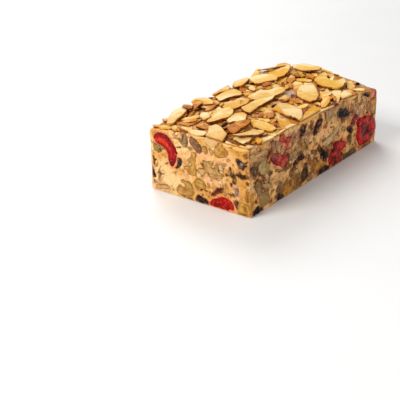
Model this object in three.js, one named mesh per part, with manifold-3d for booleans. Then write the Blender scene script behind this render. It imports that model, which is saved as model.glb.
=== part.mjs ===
// A cut loaf of fruit cake: a block of light batter with candied cherries, walnut pieces,
// raisins and candied peel set into it, under a layer of sliced almonds.
// Millimetres, +Z up. The loaf lies along X with its cut end towards -X. The origin is the
// centre of the base.

import * as THREE from 'three';
import { mergeVertices } from 'three/addons/utils/BufferGeometryUtils.js';
import Module from 'manifold-3d';

const wasm = await Module();
wasm.setup();

// ---------------------------------------------------------------- driving sizes
const LENGTH = 144;            // cut end to far end
const WIDTH = 73;              // across the loaf
const EDGE_HEIGHT = 40;        // height of the batter at the cut end
const NEAR_CROWN = 1.4;        // how far the -Y top edge rises at mid length
const NEAR_DROOP = 3.4;        // how far that edge sinks towards the far end
const FAR_RISE = 3.0;          // slow rise of the +Y top edge along the loaf
const FAR_HUMP = 2.2;          // hump on that edge, near the far end
const CROSS_CROWN = 1.6;       // extra height along the middle of the loaf
const FOOT_FLARE = 1.0;        // how far the +Y face stands out at its foot
const CUT_EDGE = 0.5;          // rounding left by the knife on cut edges
const BAKED_EDGE = 3.2;        // rounding of the baked top edge at the far end
const BAKED_CORNER = 3.0;      // rounding of the far upright corners, in plan
const GAP = 0.35;              // clearance between a piece and its pocket
const LIFT = 0.3;              // clearance under a slice of almond
const SLICE = 1.4;             // thickness of a slice of almond
const INSET_DEPTH = 6.5;       // usual depth of a piece set into a face
const BASE_CLEAR = 0.3;        // no set-in piece reaches lower than this

// ---------------------------------------------------------------- colours and finishes
const finish = (color, roughness) => new THREE.MeshStandardMaterial({ color, roughness, metalness: 0 });
const MATERIALS = {
  batter: finish(0xe0b883, 0.85),
  cherry: finish(0xb3131a, 0.3),
  walnut: finish(0xb8935a, 0.6),
  raisin: finish(0x2a1714, 0.4),
  peel: finish(0xd9962e, 0.35),
  almond: finish(0xf1d79b, 0.5),
};

// ---------------------------------------------------------------- the loaf's surface
const smooth = (t) => { const s = Math.min(1, Math.max(0, t)); return s * s * (3 - 2 * s); };
const bell = (x, at, wide) => Math.exp(-(((x - at) / wide) ** 2));
// height lost at distance d from an edge rounded to radius r
const roundOff = (d, r) => (d >= r ? 0 : r - Math.sqrt(Math.max(0, r * r - (r - d) ** 2)));

function topHeight(x, y) {
  const near = EDGE_HEIGHT + 0.2 + NEAR_CROWN * bell(x, 66, 34);
  const far = EDGE_HEIGHT - 0.6 + FAR_RISE * smooth(x / 45) + FAR_HUMP * bell(x, 116, 22) - smooth((x - 125) / 19);
  const droop = NEAR_DROOP * smooth((x - 106) / 42) * (1 - smooth(y / 40));
  const across = smooth(y / WIDTH);
  const lumps = 0.35 * Math.sin(x * 0.21 + 0.6) * Math.sin(y * 0.23 + 1.1);
  return near + (far - near) * across - droop + CROSS_CROWN * Math.sin(Math.PI * Math.min(1, Math.max(0, y / WIDTH))) + lumps;
}

// positions of the grid lines across a span, closer near its two ends
function gridLines(span, startSteps, endSteps, count) {
  const start = startSteps[startSteps.length - 1], end = span - endSteps[endSteps.length - 1];
  const middle = Array.from({ length: count - 1 }, (_, i) => start + ((end - start) * (i + 1)) / count);
  return [0, ...startSteps, ...middle, ...[...endSteps].reverse().map((s) => span - s), span];
}

// the loaf without pockets; grow pushes every side but the base outwards
function loafGeometry(grow) {
  const xs = gridLines(LENGTH, [0.6, 5], [0.7, 2, 5], 10);
  const ys = gridLines(WIDTH, [0.6, 4], [0.6, 2, 5], 6);
  const zs = [0, 0.02, 0.3, 0.65, 0.9, 1];
  const g = new THREE.BoxGeometry(1, 1, 1, xs.length - 1, ys.length - 1, zs.length - 1);
  const p = g.attributes.position;
  for (let i = 0; i < p.count; i++) {
    const x = xs[Math.round((p.getX(i) + 0.5) * (xs.length - 1))];
    const y = ys[Math.round((p.getY(i) + 0.5) * (ys.length - 1))];
    const t = zs[Math.round((p.getZ(i) + 0.5) * (zs.length - 1))];
    const toFar = LENGTH - x, toNear = y, toBack = WIDTH - y;
    // rounded top edges
    let top = topHeight(x, y) - roundOff(x, CUT_EDGE) - roundOff(toNear, CUT_EDGE);
    top -= roundOff(toFar, BAKED_EDGE) + roundOff(toBack, 2.0);
    // the two baked faces wander a little, and the far corners are round
    const wave = 0.35 * (1 + Math.sin(y * 0.17 + t * 3.1) * Math.cos(t * 4 + y * 0.05));
    const backWave = 0.35 * (1 + Math.sin(x * 0.13 + t * 2.3));
    const cornerCut = roundOff(toNear, BAKED_CORNER) + roundOff(toBack, BAKED_CORNER);
    const reach = x / LENGTH;
    const px = x - (x > LENGTH / 2 ? (wave + 0.8 * cornerCut) * smooth((reach - 0.9) / 0.1) : 0);
    const py = y + (y > WIDTH / 2 ? (FOOT_FLARE * (1 - t) ** 2 - backWave) * smooth((y / WIDTH - 0.85) / 0.15) : 0);
    const outX = x === 0 ? -grow : x === LENGTH ? grow : 0;
    const outY = y === 0 ? -grow : y === WIDTH ? grow : 0;
    p.setXYZ(i, px + outX, py + outY, t * (top + grow));
  }
  return g;
}

// ---------------------------------------------------------------- solids
function toSolid(geometry, matrix) {
  const g = geometry.clone();
  g.deleteAttribute('normal');
  g.deleteAttribute('uv');
  if (matrix) g.applyMatrix4(matrix);
  const merged = mergeVertices(g, 1e-4);
  return new wasm.Manifold(new wasm.Mesh({
    numProp: 3,
    vertProperties: new Float32Array(merged.attributes.position.array),
    triVerts: new Uint32Array(merged.index.array),
  }));
}

function toGeometry(solid) {
  const mesh = solid.getMesh();
  const g = new THREE.BufferGeometry();
  g.setAttribute('position', new THREE.BufferAttribute(new Float32Array(mesh.vertProperties), 3));
  g.setIndex(new THREE.BufferAttribute(new Uint32Array(mesh.triVerts), 1));
  g.computeVertexNormals();
  return g;
}

// A closed outline: an ellipse of half sizes a and b, squared off by square (2 is a plain
// ellipse), waved by lobes [waves, depth, turn], narrowed towards +x by taper, bent towards
// +y by bend (1/mm), turned by turn degrees and put at (u, v). inset shrinks it beforehand.
function outline(o, inset = 0, scale = 1) {
  const { a, b, square = 2, lobes = [], taper = 0, bend = 0, turn = 0, u = 0, v = 0, n = 16 } = o;
  const points = [];
  for (let i = 0; i < n; i++) {
    const t = (2 * Math.PI * i) / n, c = Math.cos(t), s = Math.sin(t);
    const wave = lobes.reduce((sum, [k, depth, at = 0]) => sum + depth * Math.cos(k * t + THREE.MathUtils.degToRad(at)), 1);
    let x = (a * scale - inset) * Math.sign(c) * Math.abs(c) ** (2 / square) * wave;
    let y = (b * scale - inset) * Math.sign(s) * Math.abs(s) ** (2 / square) * wave;
    y *= 1 - (taper * x) / a;
    if (bend) {
      const r = 1 / bend;
      [x, y] = [Math.sin(x * bend) * (r - y), r - Math.cos(x * bend) * (r - y)];
    }
    points.push(new THREE.Vector2(x, y).rotateAround(new THREE.Vector2(), THREE.MathUtils.degToRad(turn)).add(new THREE.Vector2(u, v)));
  }
  return points;
}

// the same outline pushed outwards along its normals
function widen(points, by) {
  return points.map((p, i) => {
    const before = points[(i + points.length - 1) % points.length], after = points[(i + 1) % points.length];
    const along = after.clone().sub(before).normalize();
    return new THREE.Vector2(p.x + along.y * by, p.y - along.x * by);
  });
}

// a closed body through a stack of outlines with equal point counts, from back to front
function loft(rings, levels) {
  const n = rings[0].length, positions = [], index = [];
  rings.forEach((ring, k) => ring.forEach((p) => positions.push(p.x, p.y, levels[k])));
  for (let k = 0; k + 1 < rings.length; k++) {
    for (let i = 0; i < n; i++) {
      const j = (i + 1) % n, a = k * n + i, b = k * n + j, c = a + n, d = b + n;
      index.push(a, b, d, a, d, c);
    }
  }
  for (const [k, flip] of [[0, true], [rings.length - 1, false]]) {
    for (const [a, b, c] of THREE.ShapeUtils.triangulateShape(rings[k], [])) {
      index.push(k * n + a, k * n + (flip ? c : b), k * n + (flip ? b : c));
    }
  }
  const g = new THREE.BufferGeometry();
  g.setAttribute('position', new THREE.Float32BufferAttribute(positions, 3));
  g.setIndex(index);
  return g;
}

// Frames of the two cut faces: u to the right and v up as seen from outside, w outwards.
const FACES = {
  end: new THREE.Matrix4().makeBasis(new THREE.Vector3(0, -1, 0), new THREE.Vector3(0, 0, 1), new THREE.Vector3(-1, 0, 0)).setPosition(0, WIDTH, 0),
  side: new THREE.Matrix4().makeBasis(new THREE.Vector3(1, 0, 0), new THREE.Vector3(0, 0, 1), new THREE.Vector3(0, -1, 0)),
};

// profile of each kind of set-in piece: [level as a share of the depth, scale, inset]
const SECTIONS = {
  cherry: { proud: 0.5, rings: [[-1, 0.6, 0], [-0.6, 0.95, 0], [-0.05, 1, 0], [0, 1, 0.9]] },
  raisin: { proud: 0.4, rings: [[-1, 0.55, 0], [-0.5, 1, 0], [-0.05, 1, 0], [0, 1, 0.8]] },
  walnut: { proud: 0.1, rings: [[-1, 0.7, 0], [-0.55, 1, 0], [0, 1, 0]] },
  peel: { proud: 0.2, rings: [[-1, 0.8, 0], [-0.6, 1, 0], [0, 1, 0]] },
};

function setInPiece(kind, o) {
  const { proud, rings } = SECTIONS[kind];
  const depth = o.depth ?? INSET_DEPTH;
  const levels = rings.map(([level]) => (level === 0 ? proud : level * depth));
  const body = loft(rings.map(([, scale, inset]) => outline(o, inset, scale)), levels);
  const rim = widen(outline(o), GAP);
  const pocket = loft([rim, rim], [-depth - GAP, 4]);
  return { solid: toSolid(body, FACES[o.face]), pocket: toSolid(pocket, FACES[o.face]) };
}

// ---------------------------------------------------------------- what is set into the faces
// u runs to the right and v up from the lower left corner of the face.
const SET_IN = [
  // cut end
  ['cherry_01', 'cherry', { face: 'end', u: 15.5, v: 31.4, a: 13.2, b: 3.8, square: 2.6, bend: -0.104, turn: -52, n: 24 }],
  ['cherry_02', 'cherry', { face: 'end', u: 53.7, v: 4.0, a: 8.7, b: 4.5, square: 2.3, taper: -0.12, turn: 3, n: 20 }],
  ['walnut_01', 'walnut', { face: 'end', u: 26.7, v: 35.9, a: 4.5, b: 3.4, lobes: [[3, 0.14, 40]], turn: 62, n: 18 }],
  ['walnut_02', 'walnut', { face: 'end', u: 35.7, v: 35.9, a: 5.2, b: 2.2, square: 3.2, turn: -40, n: 14 }],
  ['walnut_03', 'walnut', { face: 'end', u: 54.0, v: 35.3, a: 5.0, b: 3.6, lobes: [[2, 0.04, 20]], turn: -8, n: 18 }],
  ['walnut_04', 'walnut', { face: 'end', u: 32.3, v: 23.5, a: 7.4, b: 3.1, taper: 0.3, lobes: [[3, 0.16, 150], [5, 0.08, 30]], turn: 76, n: 24 }],
  ['walnut_05', 'walnut', { face: 'end', u: 46.0, v: 22.9, a: 8.6, b: 5.0, lobes: [[5, 0.2, 150], [3, 0.1, 200]], turn: 6, n: 28 }],
  ['walnut_06', 'walnut', { face: 'end', u: 38.2, v: 12.5, a: 4.7, b: 3.5, lobes: [[2, 0.03, 10]], turn: 4, n: 18 }],
  ['walnut_07', 'walnut', { face: 'end', u: 26.2, v: 6.6, a: 7.4, b: 4.4, lobes: [[3, 0.16, 60], [4, 0.1, 120]], turn: 28, n: 24 }],
  ['raisin_01', 'raisin', { face: 'end', u: 1.2, v: 9.8, a: 4.7, b: 2.2, turn: 110, n: 12 }],
  ['raisin_02', 'raisin', { face: 'end', u: 38.4, v: 2.4, a: 4.6, b: 2.3, turn: -3, n: 12 }],
  ['raisin_03', 'raisin', { face: 'end', u: 50.5, v: 11.0, a: 5.4, b: 2.1, turn: 31, n: 12 }],
  ['raisin_04', 'raisin', { face: 'end', u: 67.3, v: 31.2, a: 4.3, b: 2.1, turn: -35, n: 12, depth: 5 }],
  ['raisin_05', 'raisin', { face: 'end', u: 67.4, v: 24.8, a: 5.0, b: 1.9, turn: -3, n: 12, depth: 5 }],
  ['peel_01', 'peel', { face: 'end', u: 68.4, v: 4.0, a: 4.2, b: 3.7, square: 3, turn: 12, n: 14, depth: 5 }],
  // long side
  ['cherry_03', 'cherry', { face: 'side', u: 28.2, v: 27.2, a: 10.2, b: 4.2, square: 2.2, lobes: [[3, 0.06, 20]], turn: -32, n: 20 }],
  ['cherry_04', 'cherry', { face: 'side', u: 34.6, v: 35.9, a: 6.4, b: 2.9, lobes: [[3, 0.12, 60]], turn: -28, n: 18 }],
  ['cherry_05', 'cherry', { face: 'side', u: 93.6, v: 8.6, a: 11.2, b: 6.7, lobes: [[3, 0.07, 100], [5, 0.04, 40]], turn: 20, n: 22, depth: 8 }],
  ['cherry_06', 'cherry', { face: 'side', u: 129.8, v: 12.4, a: 13.4, b: 9.6, square: 2.3, lobes: [[4, 0.04, 30]], turn: -14, n: 24, depth: 9 }],
  ['cherry_07', 'cherry', { face: 'side', u: 112.6, v: 26.6, a: 6.6, b: 2.7, lobes: [[3, 0.1, 0]], turn: 26, n: 16 }],
  ['cherry_08', 'cherry', { face: 'side', u: 137.4, v: 33.3, a: 3.5, b: 3.0, square: 2.6, turn: 60, n: 14, depth: 5 }],
  ['walnut_08', 'walnut', { face: 'side', u: 8.4, v: 35.2, a: 9.0, b: 2.9, lobes: [[3, 0.1, 80]], turn: -4, n: 20, depth: 5 }],
  ['walnut_09', 'walnut', { face: 'side', u: 13.4, v: 26.2, a: 5.0, b: 3.7, lobes: [[3, 0.1, 0]], turn: 20, n: 18, depth: 5 }],
  ['walnut_10', 'walnut', { face: 'side', u: 13.6, v: 12.0, a: 8.2, b: 4.2, bend: 0.05, lobes: [[4, 0.1, 0]], turn: 108, n: 22, depth: 5 }],
  ['walnut_11', 'walnut', { face: 'side', u: 87.0, v: 22.8, a: 13.4, b: 2.6, taper: 0.1, turn: 16, n: 20, depth: 5 }],
  ['walnut_12', 'walnut', { face: 'side', u: 82.4, v: 36.0, a: 4.9, b: 2.9, square: 2.6, turn: 70, n: 16, depth: 5 }],
  ['raisin_06', 'raisin', { face: 'side', u: 7.4, v: 2.4, a: 5.0, b: 2.3, turn: -6, n: 12, depth: 4.5 }],
  ['raisin_07', 'raisin', { face: 'side', u: 52.0, v: 36.4, a: 3.9, b: 3.0, turn: 60, n: 12, depth: 5 }],
  ['raisin_08', 'raisin', { face: 'side', u: 68.8, v: 34.4, a: 6.4, b: 2.8, turn: 40, n: 14, depth: 5 }],
  ['raisin_09', 'raisin', { face: 'side', u: 49.4, v: 20.6, a: 5.8, b: 2.3, turn: 10, n: 12, depth: 5 }],
  ['raisin_10', 'raisin', { face: 'side', u: 76.2, v: 13.4, a: 7.6, b: 3.2, taper: -0.12, turn: -38, n: 14, depth: 5 }],
  ['raisin_11', 'raisin', { face: 'side', u: 98.8, v: 33.2, a: 7.6, b: 3.2, turn: -14, n: 14, depth: 5 }],
  ['raisin_12', 'raisin', { face: 'side', u: 126.8, v: 35.4, a: 4.8, b: 1.8, turn: -22, n: 12, depth: 5 }],
  ['raisin_13', 'raisin', { face: 'side', u: 106.8, v: 18.2, a: 4.2, b: 2.9, turn: -35, n: 12, depth: 5 }],
  ['raisin_14', 'raisin', { face: 'side', u: 77.2, v: 2.1, a: 6.2, b: 2.0, turn: -3, n: 12, depth: 4.5 }],
  ['peel_02', 'peel', { face: 'side', u: 42.6, v: 6.4, a: 9.6, b: 4.8, square: 2.5, lobes: [[3, 0.05, 30]], turn: 6, n: 18, depth: 5.5 }],
  ['peel_03', 'peel', { face: 'side', u: 67.0, v: 9.4, a: 4.7, b: 3.4, square: 2.8, turn: -30, n: 14, depth: 5 }],
  ['peel_04', 'peel', { face: 'side', u: 136.6, v: 26.9, a: 4.6, b: 2.8, square: 3, turn: 30, n: 14, depth: 5 }],
];

// ---------------------------------------------------------------- the sliced almonds
// [x, y, length, width, turn, prop]: each slice is laid on what is already there, in this
// order, and prop is how far broken bits under it hold it up.
const SLICES = [
  [2.2, 37.6, 12.5, 7.2, 62],
  [2.6, 25.4, 17.0, 12.0, 10],
  [9.8, 11.4, 12.5, 8.6, -41],
  [31.2, 13.8, 17.5, 7.4, 79],
  [31.6, 31.0, 14.5, 8.4, 32],
  [20.0, 22.0, 19.5, 8.2, 3],
  [28.9, 41.4, 22.2, 9.6, 24],
  [62.0, 1.0, 23.0, 7.0, 12],
  [58.7, 13.8, 23.0, 12.0, 40],
  [57.6, 33.8, 30.0, 8.8, -1],
  [75.6, 41.4, 26.5, 9.2, -20],
  [92.9, 21.4, 28.0, 13.6, 36],
  [120.5, 21.5, 24.0, 13.5, -37, 0.8],
  [17.4, 66.0, 23.5, 8.8, 18, 0.9],
  [41.8, 65.0, 16.0, 11.0, 64, 1.2],
  [60.2, 59.2, 19.0, 10.0, -20, 0.4],
  [66.4, 69.2, 19.0, 6.6, 2, 1.0],
  [86.4, 69.0, 18.5, 6.8, 5, 0.6],
  [96.0, 58.9, 18.0, 10.6, -9, 1.0],
  [114.8, 56.8, 20.0, 11.4, 24, 1.0],
  [128.6, 46.4, 17.5, 14.5, 84, 2.8],
];

// outline of a slice: round at one end and pointed at the other
function sliceOutline(length, width, turn, x, y) {
  return outline({ a: length / 2, b: width / 2, square: 1.9, taper: 0.22, turn, u: x, v: y, n: 14 });
}

const insideOf = (points, x, y) => {
  let inside = false;
  for (let i = 0, j = points.length - 1; i < points.length; j = i++) {
    const p = points[i], q = points[j];
    if ((p.y > y) !== (q.y > y) && x < ((q.x - p.x) * (y - p.y)) / (q.y - p.y) + p.x) inside = !inside;
  }
  return inside;
};

// least-squares plane z = c + gx (x - x0) + gy (y - y0) through samples
function fitPlane(samples, x0, y0) {
  let n = 0, sx = 0, sy = 0, sz = 0, sxx = 0, sxy = 0, syy = 0, sxz = 0, syz = 0;
  for (const [px, py, z] of samples) {
    const x = px - x0, y = py - y0;
    n += 1; sx += x; sy += y; sz += z; sxx += x * x; sxy += x * y; syy += y * y; sxz += x * z; syz += y * z;
  }
  const m = new THREE.Matrix3().set(n, sx, sy, sx, sxx, sxy, sy, sxy, syy).invert();
  return new THREE.Vector3(sz, sxz, syz).applyMatrix3(m);
}

function layAlmonds() {
  const step = 0.8;
  const nx = Math.ceil(LENGTH / step) + 1, ny = Math.ceil(WIDTH / step) + 1;
  const heights = new Float64Array(nx * ny);
  for (let i = 0; i < nx; i++) for (let j = 0; j < ny; j++) heights[i * ny + j] = topHeight(i * step, j * step);
  // the knife took off what stood past the two cut faces
  const trim = toSolid(new THREE.BoxGeometry(LENGTH, WIDTH + 0.4, 80), new THREE.Matrix4().makeTranslation(LENGTH / 2, WIDTH / 2 - 0.2, 30));
  return SLICES.map(([x, y, length, width, turn, prop = 0], k) => {
    const rim = sliceOutline(length, width, turn, x, y);
    const margin = widen(rim, 0.8);
    const under = [];
    for (let i = 0; i < nx; i++) {
      for (let j = 0; j < ny; j++) {
        const px = i * step, py = j * step;
        if (Math.hypot(px - x, py - y) < length && insideOf(margin, px, py)) under.push([px, py, heights[i * ny + j], i * ny + j]);
      }
    }
    const plane = fitPlane(under, x, y);
    const gx = THREE.MathUtils.clamp(plane.y, -0.2, 0.2), gy = THREE.MathUtils.clamp(plane.z, -0.2, 0.2);
    const slope = (px, py) => gx * (px - x) + gy * (py - y);
    const base = under.reduce((most, [px, py, z]) => Math.max(most, z - slope(px, py)), -Infinity) + LIFT + prop;
    for (const [px, py, , at] of under) heights[at] = Math.max(heights[at], base + slope(px, py) + SLICE);
    const g = loft([rim, rim], [0, SLICE]);
    const p = g.attributes.position;
    for (let i = 0; i < p.count; i++) p.setZ(i, p.getZ(i) + base + slope(p.getX(i), p.getY(i)));
    return [`almond_${String(k + 1).padStart(2, '0')}`, toSolid(g).intersect(trim)];
  });
}

// ---------------------------------------------------------------- assembly
const loaf = new THREE.Group();

function addMesh(name, solid, material) {
  const geometry = toGeometry(solid);
  geometry.computeBoundingBox();
  const centre = geometry.boundingBox.getCenter(new THREE.Vector3());
  geometry.translate(-centre.x, -centre.y, -centre.z);
  const mesh = new THREE.Mesh(geometry, MATERIALS[material]);
  mesh.name = name;
  mesh.position.copy(centre);
  loaf.add(mesh);
}

const block = toSolid(loafGeometry(0));
const skin = toSolid(loafGeometry(0.6));
const above = toSolid(new THREE.BoxGeometry(400, 400, 200), new THREE.Matrix4().makeTranslation(0, 0, 100 + BASE_CLEAR));
const bounds = skin.intersect(above);

let cake = block;
const pockets = [];
const set = [];
for (const [name, kind, o] of SET_IN) {
  const { solid, pocket } = setInPiece(kind, o);
  let piece = solid.intersect(bounds);
  for (const earlier of pockets) piece = piece.subtract(earlier);
  pockets.push(pocket);
  set.push([name, piece, kind]);
  cake = cake.subtract(pocket);
}
addMesh('cake', cake, 'batter');
for (const [name, piece, kind] of set) addMesh(name, piece, kind);
for (const [name, solid] of layAlmonds()) addMesh(name, solid, 'almond');

// centre the whole on its base
const box = new THREE.Box3().setFromObject(loaf);
const middle = box.getCenter(new THREE.Vector3());
loaf.position.set(-middle.x, -middle.y, -box.min.z);
loaf.updateMatrixWorld(true);

export default loaf;
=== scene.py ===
"""Looks of the fruit cake loaf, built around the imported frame.

Lengths in this file are millimetres in the loaf's own corner frame: x runs from the cut end (0)
to the far end, y from the long side that shows (0) to the back, z up from the base. build() turns
them into metres in the shared frame.
"""

import math

import bmesh
import bpy
import numpy as np
from mathutils import Matrix, Vector
from mathutils.geometry import delaunay_2d_cdt


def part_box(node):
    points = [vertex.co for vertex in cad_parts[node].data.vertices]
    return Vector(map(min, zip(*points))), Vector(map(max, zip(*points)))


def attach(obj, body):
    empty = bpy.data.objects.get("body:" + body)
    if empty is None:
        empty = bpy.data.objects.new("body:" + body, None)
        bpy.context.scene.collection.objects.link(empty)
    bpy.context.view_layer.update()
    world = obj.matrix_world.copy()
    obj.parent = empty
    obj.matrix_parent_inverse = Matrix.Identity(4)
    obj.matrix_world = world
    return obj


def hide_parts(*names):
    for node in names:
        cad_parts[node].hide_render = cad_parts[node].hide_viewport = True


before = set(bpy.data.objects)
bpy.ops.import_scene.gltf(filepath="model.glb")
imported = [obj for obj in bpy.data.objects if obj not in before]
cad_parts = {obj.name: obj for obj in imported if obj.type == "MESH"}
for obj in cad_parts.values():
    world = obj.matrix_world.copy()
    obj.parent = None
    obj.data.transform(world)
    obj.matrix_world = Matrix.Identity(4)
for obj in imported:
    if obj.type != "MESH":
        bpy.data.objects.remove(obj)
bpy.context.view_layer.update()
CORNER = np.array(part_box("cake")[0])  # the corner frame's origin in the shared frame, metres

LENGTH, WIDTH, EDGE_HEIGHT = 144.0, 73.0, 40.0

# ------------------------------------------------------------------ numbers: noise and shaping


def smooth(t):
    s = np.clip(t, 0.0, 1.0)
    return s * s * (3 - 2 * s)


def step(a, b, x):
    """0 below a, 1 above b, smooth between."""
    return smooth((np.asarray(x, float) - a) / (b - a))


def bell(x, at, wide):
    return np.exp(-(((x - at) / wide) ** 2))


def lerp(a, b, t):
    t = np.asarray(t, float)
    return a + (b - a) * (t[:, None] if t.ndim == 1 else t)


def hashed(ix, iy, iz, seed):
    h = (ix * 374761393 + iy * 668265263 + iz * 2147483629 + seed * 1274126177) & 0xFFFFFFFF
    h = ((h ^ (h >> 13)) * 1274126177) & 0xFFFFFFFF
    h = ((h ^ (h >> 15)) * 2246822519) & 0xFFFFFFFF
    return ((h ^ (h >> 16)) & 0xFFFFFF) / float(0xFFFFFF)


def noise(p, size, seed=0):
    """Smooth value noise from 0 to 1 at points p (n, 3), with lumps of that size in mm."""
    q = np.asarray(p, float) / size + seed * 17.31
    i = np.floor(q).astype(np.int64)
    f = q - i
    f = f * f * f * (f * (f * 6 - 15) + 10)
    out = 0.0
    for dx in (0, 1):
        wx = f[:, 0] if dx else 1 - f[:, 0]
        for dy in (0, 1):
            wy = f[:, 1] if dy else 1 - f[:, 1]
            for dz in (0, 1):
                wz = f[:, 2] if dz else 1 - f[:, 2]
                out = out + wx * wy * wz * hashed(i[:, 0] + dx, i[:, 1] + dy, i[:, 2] + dz, seed)
    return out


def fbm(p, size, seed=0, octaves=3, fall=0.5):
    total, weight, out = 0.0, 1.0, 0.0
    for k in range(octaves):
        out = out + weight * noise(p, size / 2 ** k, seed + 31 * k)
        total += weight
        weight *= fall
    return out / total


def ridged(p, size, seed=0, octaves=2):
    """1 on thin creases, falling to 0 between them."""
    total, weight, out = 0.0, 1.0, 0.0
    for k in range(octaves):
        out = out + weight * (1 - np.abs(2 * noise(p, size / 2 ** k, seed + 57 * k) - 1)) ** 2
        total += weight
        weight *= 0.5
    return out / total


def cells(p, size, seed=0):
    """Distance to the nearest of points scattered one to a cell, in mm, and that point's number 0 to 1."""
    q = np.asarray(p, float) / size
    i = np.floor(q).astype(np.int64)
    best = np.full(len(q), 9.0)
    who = np.zeros(len(q))
    for dx in (-1, 0, 1):
        for dy in (-1, 0, 1):
            for dz in (-1, 0, 1):
                c = i + (dx, dy, dz)
                jitter = np.stack([hashed(c[:, 0], c[:, 1], c[:, 2], seed + k) for k in (1, 2, 3)], 1)
                d = np.linalg.norm(q - (c + jitter), axis=1)
                near = d < best
                best = np.where(near, d, best)
                who = np.where(near, hashed(c[:, 0], c[:, 1], c[:, 2], seed + 4), who)
    return best * size, who


# ------------------------------------------------------------------ the loaf's own form


def round_off(d, r):
    return np.where(d >= r, 0.0, r - np.sqrt(np.maximum(0.0, r * r - (r - np.minimum(d, r)) ** 2)))


def top_height(x, y):
    near = EDGE_HEIGHT + 0.2 + 1.4 * bell(x, 66, 34)
    far = EDGE_HEIGHT - 0.6 + 3.0 * smooth(x / 45) + 2.2 * bell(x, 116, 22) - smooth((x - 125) / 19)
    droop = 3.4 * smooth((x - 106) / 42) * (1 - smooth(y / 40))
    lumps = 0.35 * np.sin(x * 0.21 + 0.6) * np.sin(y * 0.23 + 1.1)
    across = np.clip(y / WIDTH, 0, 1)
    return near + (far - near) * smooth(across) - droop + 1.6 * np.sin(np.pi * across) + lumps


def back_y(x, t):
    """Where the back face lies, t being the share of the height."""
    return WIDTH + 1.0 * (1 - t) ** 2 - 0.35 * (1 + np.sin(x * 0.13 + t * 2.3))


def far_x(y, t):
    wave = 0.35 * (1 + np.sin(y * 0.17 + t * 3.1) * np.cos(t * 4 + y * 0.05))
    return LENGTH - wave - 0.8 * (round_off(y, 3.0) + round_off(WIDTH - y, 3.0))


def on_face(face, u, v, w):
    """Points (n, 3) of a face: u to the right and v up as seen from outside, w outwards."""
    u, v, w = (np.asarray(a, float) for a in (u, v, w))
    if face == "end":
        return np.stack([-w, WIDTH - u, v + 0 * u], -1)
    if face == "side":
        return np.stack([u + 0 * w, -w + 0 * u, v + 0 * u], -1)
    if face == "back":
        x = LENGTH - u
        return np.stack([x + 0 * w, back_y(x, v / top_height(x, WIDTH)) + w, v + 0 * u], -1)
    if face == "far":
        return np.stack([far_x(u, v / top_height(LENGTH, u)) + w, u + 0 * w, v + 0 * u], -1)
    return np.stack([u + 0 * w, v + 0 * w, top_height(u, v) - top_sink(u, v) + w], -1)  # top


def top_sink(x, y):
    """How far the batter lies under the almond layer."""
    return 0.12 + 0.62 * smooth(x / 5) * smooth(y / 4) * smooth((LENGTH - x) / 5) * smooth((WIDTH - y) / 5)


# ------------------------------------------------------------------ outlines


def turned(points, turn, u=0.0, v=0.0):
    c, s = math.cos(math.radians(turn)), math.sin(math.radians(turn))
    return np.stack([points[:, 0] * c - points[:, 1] * s + u, points[:, 0] * s + points[:, 1] * c + v], 1)


def resample(loop, gap):
    """A closed line's points spaced evenly, about gap apart, running anticlockwise."""
    loop = np.asarray(loop, float)
    nxt = np.roll(loop, -1, 0)
    if (loop[:, 0] * nxt[:, 1] - loop[:, 1] * nxt[:, 0]).sum() < 0:
        loop = loop[::-1]
    closed = np.concatenate([loop, loop[:1]])
    run = np.concatenate([[0], np.cumsum(np.linalg.norm(np.diff(closed, axis=0), axis=1))])
    count = max(12, int(round(run[-1] / gap)))
    at = np.arange(count) * run[-1] / count
    return np.stack([np.interp(at, run, closed[:, 0]), np.interp(at, run, closed[:, 1])], 1)


def spline(points, gap=0.3):
    """A smooth closed curve through points."""
    p = np.asarray(points, float)
    a, b, c, d = np.roll(p, 1, 0), p, np.roll(p, -1, 0), np.roll(p, -2, 0)
    t = np.arange(8)[None, :, None] / 8
    q = 0.5 * (2 * b[:, None] + (c - a)[:, None] * t + (2 * a - 5 * b + 4 * c - d)[:, None] * t ** 2 + (3 * b - a - 3 * c + d)[:, None] * t ** 3)
    return resample(q.reshape(-1, 2), gap)


def ragged(loop, amount, seed):
    """Moves a curve in and out a little, as a cut or torn edge is."""
    along = np.roll(loop, -1, 0) - np.roll(loop, 1, 0)
    along /= np.maximum(np.linalg.norm(along, axis=1), 1e-9)[:, None]
    out = np.stack([along[:, 1], -along[:, 0]], 1)
    p = np.column_stack([loop, np.full(len(loop), seed * 0.61)])
    size = loop.max(0) - loop.min(0)
    k = min(1.0, size.min() / 3.0)
    move = amount * k * ((fbm(p, 1.5, seed, 2) - 0.5) * 2 + 0.5 * (noise(p, 0.5, seed + 7) - 0.5) * 2)
    return loop + out * move[:, None]


def signed_distance(outline, q):
    """Distance from points q (m, 2) to a closed outline, less than 0 inside."""
    outline = np.asarray(outline, float)
    a, b = outline, np.roll(outline, -1, 0)
    ab = b - a
    out = np.empty(len(q))
    for s in range(0, len(q), 4000):
        p = q[s:s + 4000, None]
        t = np.clip(((p - a) * ab).sum(-1) / np.maximum((ab ** 2).sum(-1), 1e-12), 0, 1)
        d = np.linalg.norm(p - a - t[..., None] * ab, axis=-1).min(1)
        over = (a[:, 1] > p[..., 1]) != (b[:, 1] > p[..., 1])
        cross = ab[:, 0] * (p[..., 1] - a[:, 1]) / np.where(np.abs(ab[:, 1]) < 1e-12, 1e-12, ab[:, 1]) + a[:, 0]
        inside = ((over & (p[..., 0] < cross)).sum(1) % 2) == 1
        out[s:s + 4000] = np.where(inside, -d, d)
    return out


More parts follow.
